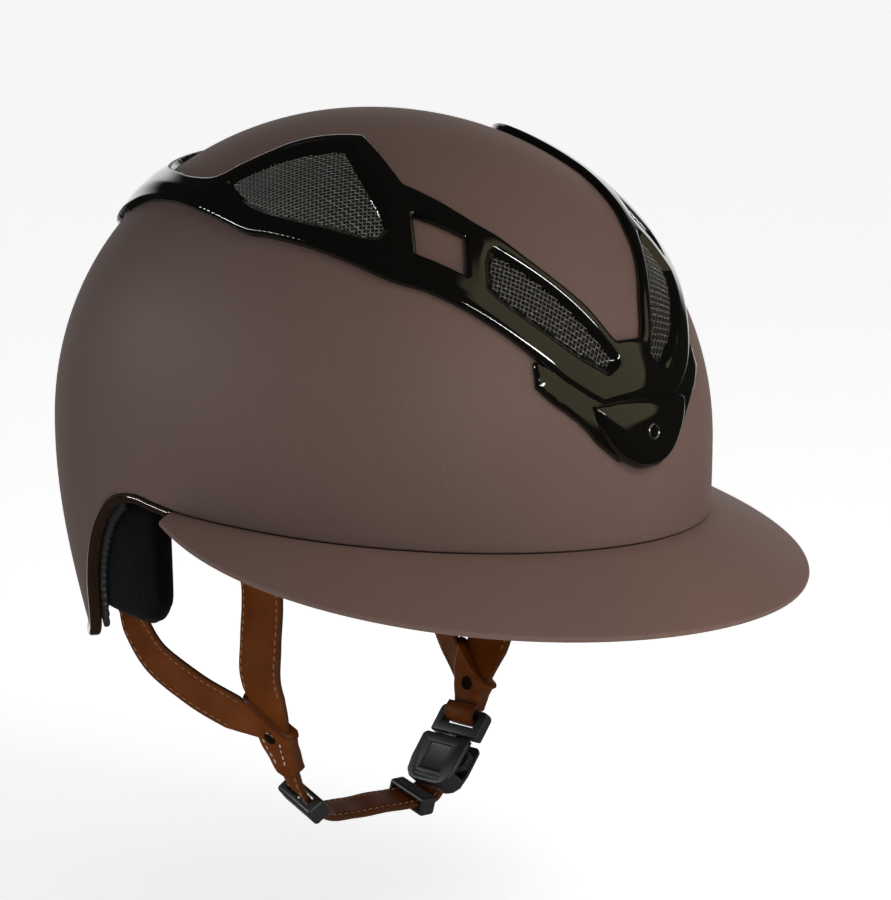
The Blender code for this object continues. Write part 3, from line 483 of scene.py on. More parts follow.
def principled(name, colour, roughness, **more):
    """A material with its tree and shader; more sets inputs, with _ for spaces in their names."""
    mat = bpy.data.materials.new(name)
    mat.use_nodes = True
    tree = mat.node_tree
    shader = tree.nodes["Principled BSDF"]
    shader.inputs["Base Color"].default_value = (*colour, 1)
    shader.inputs["Roughness"].default_value = roughness
    for key, value in more.items():
        shader.inputs[key.replace("_", " ")].default_value = value
    return mat, tree, shader


def texture(tree, kind, **values):
    """A texture node in object coordinates."""
    place = node(tree, "ShaderNodeTexCoord")
    made = node(tree, kind, **values)
    tree.links.new(place.outputs["Object"], made.inputs["Vector"])
    return made


def noise(tree, scale, detail=4.0, roughness=0.6):
    made = texture(tree, "ShaderNodeTexNoise", Scale=scale, Detail=detail, Roughness=roughness)
    return made.outputs["Fac"]


def voronoi(tree, scale, feature="F1"):
    made = texture(tree, "ShaderNodeTexVoronoi", Scale=scale, feature=feature)
    return made.outputs["Distance"]


def ramp(tree, source, target, *stops):
    """Colours, or grey values, between stops along a source, into a target socket."""
    made = node(tree, "ShaderNodeValToRGB")
    for element, (place, colour) in zip(made.color_ramp.elements, (stops[0], stops[-1])):
        element.position = place
        element.color = (*as_colour(colour), 1)
    for place, colour in stops[1:-1]:
        made.color_ramp.elements.new(place).color = (*as_colour(colour), 1)
    tree.links.new(source, made.inputs["Fac"])
    tree.links.new(made.outputs["Color"], target)


def as_colour(value):
    return value if isinstance(value, tuple) else (value,) * 3


def bump(tree, shader, source, strength, distance, before=None):
    made = node(tree, "ShaderNodeBump", Strength=strength, Distance=distance)
    tree.links.new(source, made.inputs["Height"])
    if before:
        tree.links.new(before.outputs["Normal"], made.inputs["Normal"])
    tree.links.new(made.outputs["Normal"], shader.inputs["Normal"])
    return made


def tinted(colour, factor):
    return tuple(min(channel * factor, 1.0) for channel in colour)


def matt_paint(name, colour):
    """Soft-touch paint: fine speckle in colour, roughness and height."""
    mat, tree, shader = principled(name, colour, 0.58, Sheen_Weight=0.03, Sheen_Roughness=0.45,
                                   Sheen_Tint=(1.0, 0.90, 0.84, 1), Specular_IOR_Level=0.22)
    speckle = noise(tree, 1500, 3.0, 0.7)
    mix = node(tree, "ShaderNodeMix", data_type="RGBA", blend_type="MULTIPLY")
    mix.inputs[0].default_value = 1.0
    ramp(tree, speckle, mix.inputs[6],
         (0.25, tinted(colour, 0.86)), (0.5, colour), (0.78, tinted(colour, 1.16)))
    ramp(tree, noise(tree, 14, 3.0), mix.inputs[7], (0.3, 0.95), (0.7, (1.04, 1.03, 1.02)))
    tree.links.new(mix.outputs[2], shader.inputs["Base Color"])
    ramp(tree, speckle, shader.inputs["Roughness"], (0.2, 0.50), (0.8, 0.66))
    bump(tree, shader, speckle, 0.22, 0.00012)
    return mat


def gloss_paint(name, colour, roughness=0.05):
    """Piano-gloss lacquer with a faint orange peel."""
    mat, tree, shader = principled(name, colour, roughness, Coat_Weight=0.6, Coat_Roughness=0.02)
    ramp(tree, noise(tree, 1400, 2.0), shader.inputs["Roughness"],
         (0.45, roughness), (0.85, roughness + 0.05))
    bump(tree, shader, noise(tree, 160, 2.0), 0.03, 0.0002)
    return mat


def leather(name, colour, edge_colour):
    """Tan leather: cell grain, creases, darker worn edges from the 'edge' attribute."""
    mat, tree, shader = principled(name, colour, 0.42, Specular_IOR_Level=0.14)
    cloud = noise(tree, 55, 5.0)
    mix = node(tree, "ShaderNodeMix", data_type="RGBA")
    edge = node(tree, "ShaderNodeAttribute", attribute_name="edge")
    tree.links.new(edge.outputs["Fac"], mix.inputs[0])
    ramp(tree, cloud, mix.inputs[6],
         (0.25, tinted(colour, 0.68)), (0.5, colour), (0.75, tinted(colour, 1.28)))
    mix.inputs[7].default_value = (*edge_colour, 1)
    tree.links.new(mix.outputs[2], shader.inputs["Base Color"])
    ramp(tree, cloud, shader.inputs["Roughness"], (0.2, 0.34), (0.8, 0.52))
    first = bump(tree, shader, voronoi(tree, 1100.0, "DISTANCE_TO_EDGE"), 0.25, 0.00015)
    bump(tree, shader, noise(tree, 420, 4.0), 0.25, 0.0002, first)
    return mat


def textured(name, colour, roughness, source, darker, lighter, strength, depth, **more):
    """One texture in colour and height; source makes it, darker and lighter are (place, tint)."""
    mat, tree, shader = principled(name, colour, roughness, **more)
    grain = source(tree)
    stops = [(place, tinted(colour, tint)) for place, tint in (darker, lighter)]
    ramp(tree, grain, shader.inputs["Base Color"], *stops)
    bump(tree, shader, grain, strength, depth)
    return mat


def knit(name, colour, scale=650.0, shine=0.2):
    """Black wicking fabric: fine loops and a soft nap."""
    return textured(name, colour, 0.95, lambda tree: voronoi(tree, scale), (0.1, 1.5), (0.7, 0.6),
                    0.5, 0.0004, Sheen_Weight=0.04, Sheen_Roughness=0.5, Specular_IOR_Level=shine)


def metal(name, colour, roughness):
    """Brushed metal: scratches in roughness and height."""
    mat, tree, shader = principled(name, colour, roughness, Metallic=1.0)
    scratch = noise(tree, 900, 3.0)
    ramp(tree, scratch, shader.inputs["Roughness"],
         (0.3, roughness - 0.08), (0.7, roughness + 0.12))
    bump(tree, shader, scratch, 0.08, 0.0001)
    return mat


def thread(name, colour):
    """Waxed thread with a fine twist."""
    return textured(name, colour, 0.8, lambda tree: noise(tree, 2500, 2.0), (0.3, 0.7),
                    (0.7, 1.15), 0.4, 0.0001)


SHELL_COLOUR = (0.136, 0.083, 0.068)
TAN = (0.145, 0.034, 0.002)
PAINT = matt_paint("shell_paint", SHELL_COLOUR)
# The brim is the shell's own paint made 20 % lighter: painted light for its brighter upper
# surfaces.
LIT_VISOR_PAINT = matt_paint("visor_paint_lit", tinted(SHELL_COLOUR, 1.20))
GLOSS = gloss_paint("gloss_black_lacquer", (0.004, 0.0038, 0.003))
TRIM_GLOSS = gloss_paint("gloss_trim_lacquer", (0.022, 0.012, 0.007), 0.08)
LEATHER = leather("tan_leather", TAN, (0.060, 0.022, 0.008))
STITCH_TAN = thread("tan_thread", (0.34, 0.17, 0.07))
STITCH_PALE = thread("pale_thread", (0.62, 0.55, 0.46))
BUCKLE = textured("buckle_plastic", (0.022, 0.024, 0.024), 0.42,
                  lambda tree: noise(tree, 1800, 2.0), (0.3, 0.85), (0.7, 1.2), 0.15, 0.0001)
KNIT = knit("comfort_knit", (0.007, 0.007, 0.008))
NAPE_KNIT = knit("nape_microfibre", (0.0016, 0.0016, 0.0019), 900.0, 0.05)
FOAM = textured("liner_foam", (0.020, 0.020, 0.021), 0.9,
                lambda tree: voronoi(tree, 330.0, "DISTANCE_TO_EDGE"), (0.0, 0.5), (0.12, 1.0),
                0.5, 0.0006)
WIRE = metal("vent_wire", (0.33, 0.32, 0.31), 0.42)
# Near-black painted shade: the plates behind the vent meshes and the strip in the visor seam stand
# for openings that are dark only from shade.
SHADE_BLACK = principled("black_painted_shade", (0.004, 0.004, 0.004), 0.9)[0]
STEEL = metal("rivet_steel", (0.20, 0.15, 0.10), 0.35)
DARK_STEEL = metal("emblem_steel", (0.42, 0.41, 0.40), 0.22)


# --- Shell, visor and trim ---

def both_halves(azimuth, height, closed=True):
    """Carries half a rim round to the other side; a closed one doesn't repeat its first point."""
    last = 0 if closed else None
    return (np.concatenate([azimuth, -azimuth[-2:last:-1]]),
            np.concatenate([height, height[-2:last:-1]]))


def make_shell():
    """The outer shell as one skin that turns round a rolled lower edge."""
    azimuth, height = both_halves(*rim_path(150))
    shell = bowl("shell_skin", azimuth, height, 0.0, -2.5 * MM, 0.7 * MM, (72, 21),
                 (0, 30, 60, 90), PAINT)
    fitted(shell, "shell_matt_brown", "outer_shell")


def visor_section(width):
    """Profile of the visor from the seam, out round its rolled edge and back under the shell."""
    root, nose = 3.2 * MM, 2.4 * MM
    steps = np.linspace(0, 1, 9)[:-1]
    straight = max(width - nose / 2, 0.2 * MM)
    arch = 0.020 * width
    upper = [(straight * s, arch * math.sin(math.pi * s)) for s in steps]
    round_edge = arc(90, -90, 9, nose / 2, centre=(straight, -nose / 2))
    lower = []
    for s in steps[:0:-1]:
        thick = root + (nose - root) * s
        lower.append((straight * s, arch * math.sin(math.pi * s) - thick))
    return np.array(upper + round_edge + lower + [(0.0, -root)])


def make_visor():
    """The brim: its width and its slope change with the azimuth."""
    rings = []
    for degrees in np.linspace(-VISOR_END, VISOR_END, 150):
        azimuth = math.radians(degrees)
        seam = SEAM_RISE * MM * (1 - math.cos(azimuth))
        width = VISOR_WIDTH * (1 - (abs(degrees) / VISOR_VANISH) ** 3.0) ** (1 / 0.72)
        slope = math.radians(VISOR_SLOPE + VISOR_SLOPE_RISE * math.cos(azimuth) ** 2)
        outward = np.array((math.sin(azimuth), -math.cos(azimuth), 0))
        up = np.array((0, 0, 1.0))
        along = outward * math.cos(slope) - up * math.sin(slope)
        upright = outward * math.sin(slope) + up * math.cos(slope)
        root = wall_points(azimuth, seam, 0.0) - up * 0.45 * MM
        ring = [root + along * out + upright * rise for out, rise in visor_section(width)]
        inner = root - outward * 6 * MM
        rings.append([*ring, inner - up * 3.2 * MM, inner - up * 0.2 * MM])
    visor = skin("visor_skin", rings, LIT_VISOR_PAINT, angle=60)
    fitted(visor, "visor_matt_brown", "visor_brim")


def rim_rings(azimuth, height, across, below):
    """Rings of a section, in millimetres outwards and downwards, along the shell's lower edge."""
    points = wall_points(azimuth, height, 0.0)
    tangents = unit(np.gradient(points, axis=0))
    normals = square_to(points - wall_points(azimuth, height, -5 * MM), tangents)
    downs = np.cross(tangents, normals)
    return points[:, None] + (normals[:, None] * across + downs[:, None] * below) * MM


def make_trim():
    """The gloss lip along both ear cuts and the nape, and a black strip of painted shade in the
    visor seam gap.
    """
    azimuth, height = rim_path(260)
    first = math.radians(TRIM_START)
    held = azimuth > first
    height = np.concatenate([[np.interp(first, azimuth, height)], height[held]])
    azimuth = np.concatenate([[first], azimuth[held]])
    azimuth, height = both_halves(azimuth, height, closed=False)
    section = rounded_box_section(4.4, 3.0, 1.1) + np.array((-1.25, 1.85))
    rings = rim_rings(azimuth, height, section[:, :1], section[:, 1:])
    fitted(skin("ear_cut_lip", rings, TRIM_GLOSS), "gloss_trim", "rim_trim")
    # The seam strip: black painted shade set in the gap between shell and visor.
    azimuth = np.radians(np.linspace(-VISOR_END, VISOR_END, 160))
    height = SEAM_RISE * MM * (1 - np.cos(azimuth))
    section = rounded_box_section(2.0, 1.1, 0.3, 2) + np.array((-1.9, -0.1))
    rings = rim_rings(azimuth, height, section[:, :1], section[:, 1:])
    fitted(skin("visor_seam_painted_shade", rings, SHADE_BLACK), "gloss_trim")


def make_neck_edge():
    """The ribbed rubber edging between each ear cut's lip and its nape pad."""
    azimuth, height = rim_path(1100)
    start, stop = np.radians(NECK_EDGE)
    held = (azimuth > start) & (azimuth < stop)
    azimuth, height = azimuth[held], height[held]
    section = rounded_box_section(2.3, 7.0, 0.9, 3)
    wave = 0.35 * np.sin(np.arange(len(azimuth)) * 2 * math.pi / 9.0)
    ribs = wave[:, None, None]
    across = section[:, :1] * (1 + 0.25 * ribs) - 4.9
    below = section[:, 1:] + 1.6 + ribs * (section[:, 1:] > 0)
    rings = rim_rings(azimuth, height, across, below)
    for side, word in SIDES:
        fitted(skin("neck_edging_" + word, rings * (side, 1, 1), BUCKLE), "nape_fabric")


# --- Vent frame ---

def vent_loops():
    """Dense outlines of every meshed opening, by the CAD mesh that fills it."""
    found = {"exhaust_mesh": outline(EXHAUST_MESH, mirrored=True)}
    for side, word in SIDES:
        found["rear_vent_mesh_" + word] = outline(REAR_MESH) * (side, 1.0)
        found["front_vent_mesh_" + word] = outline(FRONT_MESH) * (side, 1.0)
    return found


def frame_top(spots, outer, inner):
    """Height of the vent frame; forward is 1 on its front arms and 0 on its rear."""
    crown, window_a, window_b, *vents = inner
    vent = np.min(vents, axis=0)
    edge = np.minimum.reduce([outer, crown, window_a, window_b])
    forward = ease((spots[:, 1] - 38) / 16)
    lift = ease((edge - 0.6) / 3.5)
    chamfer = ease(1 - outer / 1.5) * forward
    crease = ease(1 - crown / 1.2) * forward
    scoop = ease(1 - vent / 1.9) * ease((outer - 0.8) / 2.4)
    nose = ease(1 - np.hypot(spots[:, 0] / 11, (spots[:, 1] - 78) / 6))
    height = 3.0 - 1.3 * rounded_edge(edge, 0.62) - 0.45 * chamfer - 0.3 * crease
    height += 0.7 * lift * (1 - 0.8 * forward) - (1.9 + 0.7 * lift) * scoop
    return (height - 0.35 * rounded_edge(vent, 0.4) + nose) * MM


def make_frame():
    """The gloss frame: rolled outer edges, chamfers at the front and scoops round the vents."""
    loops = vent_loops()
    windows = [outline(SIDE_WINDOW) * (side, 1.0) for side, _ in SIDES]
    holes = [outline(FRAME_INNER, mirrored=True), *windows, *loops.values()]
    cell = 0.30
    shape = field_plate("vent_frame_skin", outline(FRAME_OUTER, mirrored=True), holes, cell,
                        frame_top, 0.12 * MM, GLOSS)
    fitted(shape, "gloss_black_frame", "vent_frame")
    for name, loop in loops.items():
        # A black plate behind each mesh: painted shade for the dark opening, as the shell skin here
        # has no hole.
        shade_plate = field_plate("painted_shade_behind_" + name, grow(loop, 0.5), [], 0.8, level(0.30 * MM),
                           -0.2 * MM, SHADE_BLACK)
        fitted(shade_plate, "foam")
        weave(name, grow(loop, 0.25))


def grow(loop, distance):
    """Moves a dense outline outwards."""
    ahead, behind = np.roll(loop, -1, axis=0), np.roll(loop, 1, axis=0)
    run = unit(ahead - behind)
    normal = np.stack([run[:, 1], -run[:, 0]], -1)
    area = (loop[:, 0] * ahead[:, 1] - ahead[:, 0] * loop[:, 1]).sum()
    return loop + normal * distance * (1 if area > 0 else -1)


def weave(name, loop):
    """Two crossing families of fine wires that pass over and under each other."""
    pitch, wire, wave, steps, sides = 0.76, 0.185 * MM, 0.15 * MM, 4, 5
    middle = loop.mean(0)
    turn = np.array(((1, 1), (-1, 1))) / math.sqrt(2)
    local = (loop - middle) @ turn.T
    count = int((np.abs(local).max() + pitch) / pitch)
    along = np.arange(-count * steps, count * steps + 1) * pitch / steps
    vertices, faces = [], []
    ring = np.radians(np.arange(sides) * 360 / sides)[None, :, None]
    for family in (0, 1):
        for line in range(-count, count + 1):
            cross = np.full(len(along), line * pitch)
            spots = np.stack([cross, along] if family == 0 else [along, cross], -1) @ turn + middle
            inside = signed_distance(spots, loop) < 0
            height = 0.85 * MM + wave * np.cos(np.pi * (along / pitch + line)) * (1 - 2 * family)
            for start in np.flatnonzero(inside & ~np.roll(inside, 1)):
                stop = start
                while stop + 1 < len(inside) and inside[stop + 1]:
                    stop += 1
                if stop - start < 2:
                    continue
                part = slice(start, stop + 1)
                path = map_points(spots[part, 0], spots[part, 1], height[part])
                _, side, up = frames_along(path, path[0] - path[-1] + (0.1, 0.2, 1))
                tube = path[:, None] + wire * (side[:, None] * np.cos(ring)
                                               + up[:, None] * np.sin(ring))
                faces += tube_faces(len(path), sides, len(vertices))
                vertices.extend(tube.reshape(-1, 3))
    fitted(new_object("woven_" + name, vertices, faces, WIRE), "vent_mesh", name)


def make_brow_plate():
    """The winged plate under the frame's nose, its bowl-shaped boss and a plain ring emblem."""
    def wing_top(spots, outer, inner):
        return 1.9 * MM - 1.1 * MM * rounded_edge(outer, 0.45) + 0.25 * MM * ease(outer / 2.5)

    def boss_top(spots, outer, inner):
        bowl_rise = np.sqrt(1 - (1 - np.clip(outer / 3.6, 0, 1)) ** 2)
        return 1.6 * MM + 3.9 * MM * bowl_rise

    wings = field_plate("brow_wings", outline(BROW_PLATE, mirrored=True), [], 0.4, wing_top,
                        0.1 * MM, GLOSS)
    fitted(wings, "gloss_black_plate", "brow_plate")
    boss = field_plate("brow_boss", outline(BOSS, mirrored=True), [], 0.32, boss_top,
                       1.2 * MM, GLOSS)
    fitted(boss, "gloss_black_boss", "emblem_boss")
    rings = []
    for turn in np.linspace(0, 2 * math.pi, 49)[:-1]:
        ring = []
        for angle in np.linspace(0, 2 * math.pi, 9)[:-1]:
            reach = 2.35 + 0.42 * math.cos(angle)
            u, v = reach * math.cos(turn) * 0.62, 84.6 + reach * math.sin(turn) * 0.42
            ring.append(map_points(u, v, 5.45 * MM + 0.55 * MM * math.sin(angle)))
        rings.append(ring)
    fitted(skin("ring_emblem", rings, DARK_STEEL, closed=True), "stud_steel", "emblem_stud")


# --- Straps ---

def placed(points, side=1):
    """Harness points in millimetres, put on one side and into the frame."""
    return np.array([(side * x, y, z) for x, y, z in points], float) * MM + (0, 0, RIM_Z)


def strap_section(width, thick):
    """Closed strap outline (across, through, edge): soft corners, stitch grooves both sides."""
    half, round_off = width / 2, thick * 0.42
    flat = np.linspace(half - round_off, -half + round_off, 25)
    dip = 0.22 * MM * np.exp(-(((np.abs(flat) - (half - STITCH_INSET)) / (0.55 * MM)) ** 2))
    crown = 0.10 * MM * (1 - (flat / half) ** 2)
    found = []
    for sign in (1, -1):
        for across, low, high in zip(flat, dip, crown):
            found.append((sign * across, sign * (thick / 2 - low + high)))
        side = arc(75, -75, 5, round_off, thick / 2, (half - round_off, 0))
        found += [(-sign * across, sign * through) for across, through in side]
    found = np.array(found)
    edge = np.clip((np.abs(found[:, 0]) - half + 0.9 * MM) / (0.8 * MM), 0, 1)
    return found, edge


def path_frames(path, hint, count):
    """Evenly spaced places along a smooth curve through a path, with their three directions."""
    dense = evenly(smooth_curve(path / MM, 8) * MM, count)
    return dense, *frames_along(dense, hint)


def ribbon(name, path, width, thick, hint, count=90, point=0.0, tip=0.0, slant=0.0):
    """A strap along a path; width may be a pair; point and tip shape its two ends into a V."""
    places, tangents, sides, normals = path_frames(path, hint, count)
    widths = np.linspace(*width, count) if isinstance(width, tuple) else np.full(count, width)
    rings, edges = [], []
    for row in range(count):
        share = row / (count - 1)
        section, edge = strap_section(widths[row], thick)
        reach = section[:, :1] / (widths[row] / 2)
        fade = ease((0.35 - share) / 0.35)
        shift = (1 - np.abs(reach)) * (tip * ease((share - 0.8) / 0.2) - point * fade)
        shift = shift - slant * reach * fade
        wobble = 0.12 * MM * math.sin(row * 0.21 + len(name))
        ring = places[row] + sides[row] * section[:, :1] + tangents[row] * shift
        rings.append(ring + normals[row] * (section[:, 1:] + wobble))
        edges.append(edge)
    return skin(name, rings, LEATHER, values=edges)


def stitches(name, path, width, thick, hint, mat, start, stop, inset=STITCH_INSET,
             faces=(1, -1)):
    """Rows of short raised threads beside both edges of a strap, on the faces asked for."""
    length, gap, samples = 2.1 * MM, 0.9 * MM, 200
    dense, _, sides, normals = path_frames(path, hint, samples)
    total = np.linalg.norm(np.diff(dense, axis=0), axis=1).sum()
    count = max(int(total / (length + gap)), 2)
    spots = np.linspace(0, total, samples)
    widths = np.broadcast_to(width, samples)
    middles = [(index + 0.5) * total / count for index in range(count)]
    middles = [middle for middle in middles if start * total < middle < stop * total]
    ring = np.radians(np.arange(6) * 60)
    vertices, quads = [], []
    for face, row, middle in itertools.product(faces, (-1, 1), middles):
        quads += tube_faces(7, len(ring), len(vertices))
        for turn in np.linspace(-1, 1, 7):
            at = middle + turn * length / 2
            place, side, up = [np.array([np.interp(at, spots, column) for column in rows.T])
                               for rows in (dense, sides, normals)]
            rise = face * (thick / 2 - 0.10 * MM + 0.16 * MM * (1 - turn**4))
            centre = place + side * row * (np.interp(at, spots, widths) / 2 - inset) + up * rise
            fat = 0.26 * MM * math.sqrt(max(1 - 0.85 * turn**4, 0.1))
            vertices.extend(centre + fat * (side * math.cos(a) + up * math.sin(a)) for a in ring)
    return new_object(name, vertices, quads, mat)


def rivet(name, centre, axis, radius, length):
    """A rivet: a domed cap with a rolled rim at both ends of its shank."""
    half = length / 2
    cap = arc(90, 0, 7, radius, 0.9 * MM, (0, half))
    profile = [(max(r, 0.02 * MM), h) for r, h in cap]
    profile += [(radius, half - 0.3 * MM), (radius * 0.4, half - 0.3 * MM)]
    profile += [(r, -h) for r, h in reversed(profile)]
    axis = Vector(axis).normalized()
    side = axis.orthogonal().normalized()
    third = axis.cross(side)
    turns = [2 * math.pi * k / 40 for k in range(40)]
    rounds = [side * math.cos(turn) + third * math.sin(turn) for turn in turns]
    rings = [[Vector(centre) + radial * r + axis * h for radial in rounds] for r, h in profile]
    return skin(name, rings, STEEL, angle=35)


def carried(obj, side, body, place, reach, *nodes):
    """Rides the helmet on the left; on the right it stays fixed where it is made. body is not used.
    """
    if side > 0:
        return fitted(obj, "strap_leather", *nodes)
    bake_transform(obj)
    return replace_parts(obj, *nodes) if nodes else obj


def make_sides():
    for side, word in SIDES:
        make_side(side, word)


def make_side(side, word):
    """One side's front and rear straps, and the pocket that joins them below the ear."""
    across = (0, 1, 0)
    for end, centres, hint, taper, widths, stop, swing in (
            ("front", FRONT_STRAP, across, 0.86, (21.8, 14.0), 0.85,
             ("chin_harness", STRAP_PIVOT, (6, 0, -11))),
            ("rear", REAR_STRAP, Vector((side, -0.05, 0.12)), 0.87, (14.0, 6.0), 0.88,
             ("rear_strap", REAR_PIVOT, (2, -3, -8)))):
        path = placed(centres, side)
        full, narrow = widths
        wide = np.interp(np.linspace(0, 1, 130), (0, taper, 1), (full, full, narrow)) * MM
        strap = ribbon(f"{end}_leather_{word}", path, wide, STRAP_THICK, hint, 130)
        carried(strap, side, *swing, f"{end}_strap_{word}", f"{end}_strap_tab_{word}")
        sewn = stitches(f"{end}_seams_{word}", path, full * MM, STRAP_THICK, hint, STITCH_TAN,
                        start=0.05, stop=stop)
        carried(sewn, side, *swing)

    body = "helmet" if side > 0 else "chin_harness"
    path = placed(JUNCTION_LEFT if side > 0 else JUNCTION_RIGHT, side)
    widths, thick = (23.0 * MM, 13.5 * MM), 6.6 * MM
    wrap = ribbon("junction_wrap_" + word, path, widths, thick, across,
                  point=-2.0 * MM, tip=3.0 * MM, slant=6.5 * MM)
    fitted(wrap, "strap_leather", "strap_junction_" + word, body=body)
    *_, normals = path_frames(path, across, 9)
    outside = 1 if normals[4][0] * side > 0 else -1
    sewn = stitches("junction_seams_" + word, path, np.linspace(*widths, 200), thick, across,
                    STITCH_PALE, start=0.34, stop=0.88, inset=5.0 * MM, faces=(outside,))
    fitted(sewn, "strap_leather", body=body)
    middle = path[2] * 0.45 + path[1] * 0.55
    axis = Vector(path[-1] - path[0]).normalized().cross(Vector(across))
    pin = rivet("junction_stud_" + word, middle, axis, 2.7 * MM, 7.2 * MM)
    fitted(pin, "rivet_steel", "junction_rivet_" + word, body=body)


def make_chin_strap():
    path = placed([(x, 1, z) for x, z in CHIN_STRAP])
    widths = (13.0 * MM, 15.0 * MM)
    strap = ribbon("chin_leather", path, widths, STRAP_THICK, CHIN_LEAN, 150)
    fitted(strap, "strap_leather", "chin_strap", body="chin_harness")
    sewn = stitches("chin_seams", path, np.linspace(*widths, 200), STRAP_THICK, CHIN_LEAN,
                    STITCH_TAN, start=0.03, stop=0.98)
    fitted(sewn, "strap_leather", body="chin_harness")


# --- Buckle ---

def buckle_axes():
    through = BUCKLE_MOUTH - STRAP_PIVOT
    through.y = 0
    through.normalize()
    across = Vector((0, 1, 0))
    inwards = through.cross(across).normalized()
    if inwards.z > 0:
        inwards = -inwards
    return inwards, across, inwards.cross(across)


def moulding(name, profile, half_thick, seat, edge, mat=BUCKLE):
    """A plate with an outline (along, across) in millimetres, rounded all round by a bevel."""
    place, axes = seat
    bm = bmesh.new()
    rows = []
    for height in (-half_thick, half_thick):
        rows.append([bm.verts.new(Vector((a * MM, b * MM, height * MM))) for a, b in profile])
    bm.faces.new(rows[0])
    bm.faces.new(reversed(rows[1]))
    count = len(profile)
    for k in range(count):
        n = (k + 1) % count
        bm.faces.new((rows[0][k], rows[0][n], rows[1][n], rows[1][k]))
    bmesh.ops.recalc_face_normals(bm, faces=bm.faces)
    if edge:
        sharp = [e for e in bm.edges if len(e.link_faces) == 2 and e.calc_face_angle(0) > 0.6]
        bmesh.ops.bevel(bm, geom=sharp, offset=edge * MM, segments=4, profile=0.5, affect="EDGES")
    turn = Matrix(axes).transposed().to_4x4()
    bmesh.ops.transform(bm, matrix=Matrix.Translation(place) @ turn, verts=bm.verts)
    mesh = bpy.data.meshes.new(name)
    bm.to_mesh(mesh)
    bm.free()
    return finished(name, mesh, mat, 35)


def modify(obj, kind, **values):
    modifier = obj.modifiers.new(kind.lower(), kind)
    for key, value in values.items():
        setattr(modifier, key, value)
    return modifier


def evaluated(obj):
    """A copy of an object's mesh with its modifiers applied."""
    graph = bpy.context.evaluated_depsgraph_get()
    return bpy.data.meshes.new_from_object(obj.evaluated_get(graph))


def apply_modifiers(obj):
    old, made = obj.data, evaluated(obj)
    obj.modifiers.clear()
    obj.data = made
    bpy.data.meshes.remove(old)


def carve(obj, cutters, operation="DIFFERENCE", edge=0.0):
    """Cuts with (or joins) other solids, which are then removed; edge bevels in millimetres."""
    for cutter in cutters:
        modify(obj, "BOOLEAN", operation=operation, solver="EXACT", object=cutter)
    apply_modifiers(obj)
    if not obj.data.polygons:
        raise RuntimeError(obj.name + " vanished in a cut")
    for cutter in cutters:
        bpy.data.objects.remove(cutter, do_unlink=True)
    if edge:
        modify(obj, "BEVEL", width=edge * MM, segments=3, limit_method="ANGLE",
               angle_limit=math.radians(50))
        apply_modifiers(obj)
    soften(obj.data, 35)


def block(name, low, high, seat, edge=0.0, mat=BUCKLE):
    """A box in (along, across, through) millimetres."""
    corners = ((low[0], low[1]), (high[0], low[1]), (high[0], high[1]), (low[0], high[1]))
    place, axes = seat
    middle = place + axes[2] * (low[2] + high[2]) / 2 * MM
    return moulding(name, corners, (high[2] - low[2]) / 2, (middle, axes), edge, mat)


def make_buckle():
    """The receiver on the chin harness; the plug, its prongs and its loop on the helmet."""
    axes = buckle_axes()
    mouth = BUCKLE_MOUTH + RIM
    seat = (mouth, axes)
    wide = BUCKLE_HALF
    flank = ((12, wide), (17.5, wide - 1.0), (20.0, wide - 3.5), (21, wide - 6.5))
    body = [(0.3, -wide + 1.4), (1.8, -wide), *((a, -b) for a, b in flank),
            *reversed(flank), (1.8, wide), (0.3, wide - 1.4)]
    receiver = moulding("receiver_body", body, 4.5, seat, 0.9)
    carve(receiver, [block("cavity", (-2, -9.9, -3.0), (17.5, 9.9, 3.0), seat),
                     block("slots", (-2.5, -16, -2.9), (14.5, 16, 2.9), seat)])
    dish = [block("dish", (4.2, -6.2, base), (15.8, 6.2, base + 3), seat, 0.9)
            for base in (4.0, -7.0)]
    ribs = [block("rib_cut", (at, -6.5, base), (at + 0.6, 6.5, base + 2), seat)
            for at in (16.9, 18.4) for base in (4.1, -6.1)]
    carve(receiver, dish + ribs, edge=0.18)
    fitted(receiver, "buckle_plastic", "buckle_receiver", body="chin_harness")

    corner = arc(90, 180, 5, 2.5, centre=(-10.5, wide - 2.5))
    bar = [(-1.2, -wide), (-1.2, wide), *corner, *((a, -b) for a, b in reversed(corner))]
    plug = moulding("plug_bar", bar, 2.2, seat, 0.9)
    carve(plug, [block("tongue", (-4, -2.2, -1.6), (14, 2.2, 1.6), seat, 0.4)], "UNION")
    carve(plug, [block("slot", (-10.4, -8.6, -8), (-5.4, 8.6, 8), seat)], edge=0.2)
    fitted(plug, "buckle_plastic", "buckle_plug")
    for side, word in ((-1, "front"), (1, "rear")):
        flat = [(a, side * (PRONG_ROOT + b)) for a, b in PRONG]
        prong = moulding("prong_" + word, flat, 1.6, seat, 0.35)
        grips = []
        for k in range(4):
            at, middle = 5.2 + 1.3 * k, side * 13.3
            grips.append(block("grip", (at, middle - 0.55, -2), (at + 0.5, middle + 0.55, 2), seat))
        carve(prong, grips)
        fitted(prong, "buckle_plastic", "plug_prong_" + word, body="prong_" + word)
    bend = [(-13.7, 4.4), (-9.4, 4.2), (-8.1, 2.6), (-7.9, 0)]
    bend += [(a, -b) for a, b in bend[-2::-1]]
    path = np.array([mouth + axes[0] * a * MM + axes[2] * b * MM for a, b in bend])
    strap = ribbon("plug_loop_leather", path, 15.0 * MM, 1.6 * MM, (0, 1, 0))
    fitted(strap, "strap_leather", "plug_strap_loop")


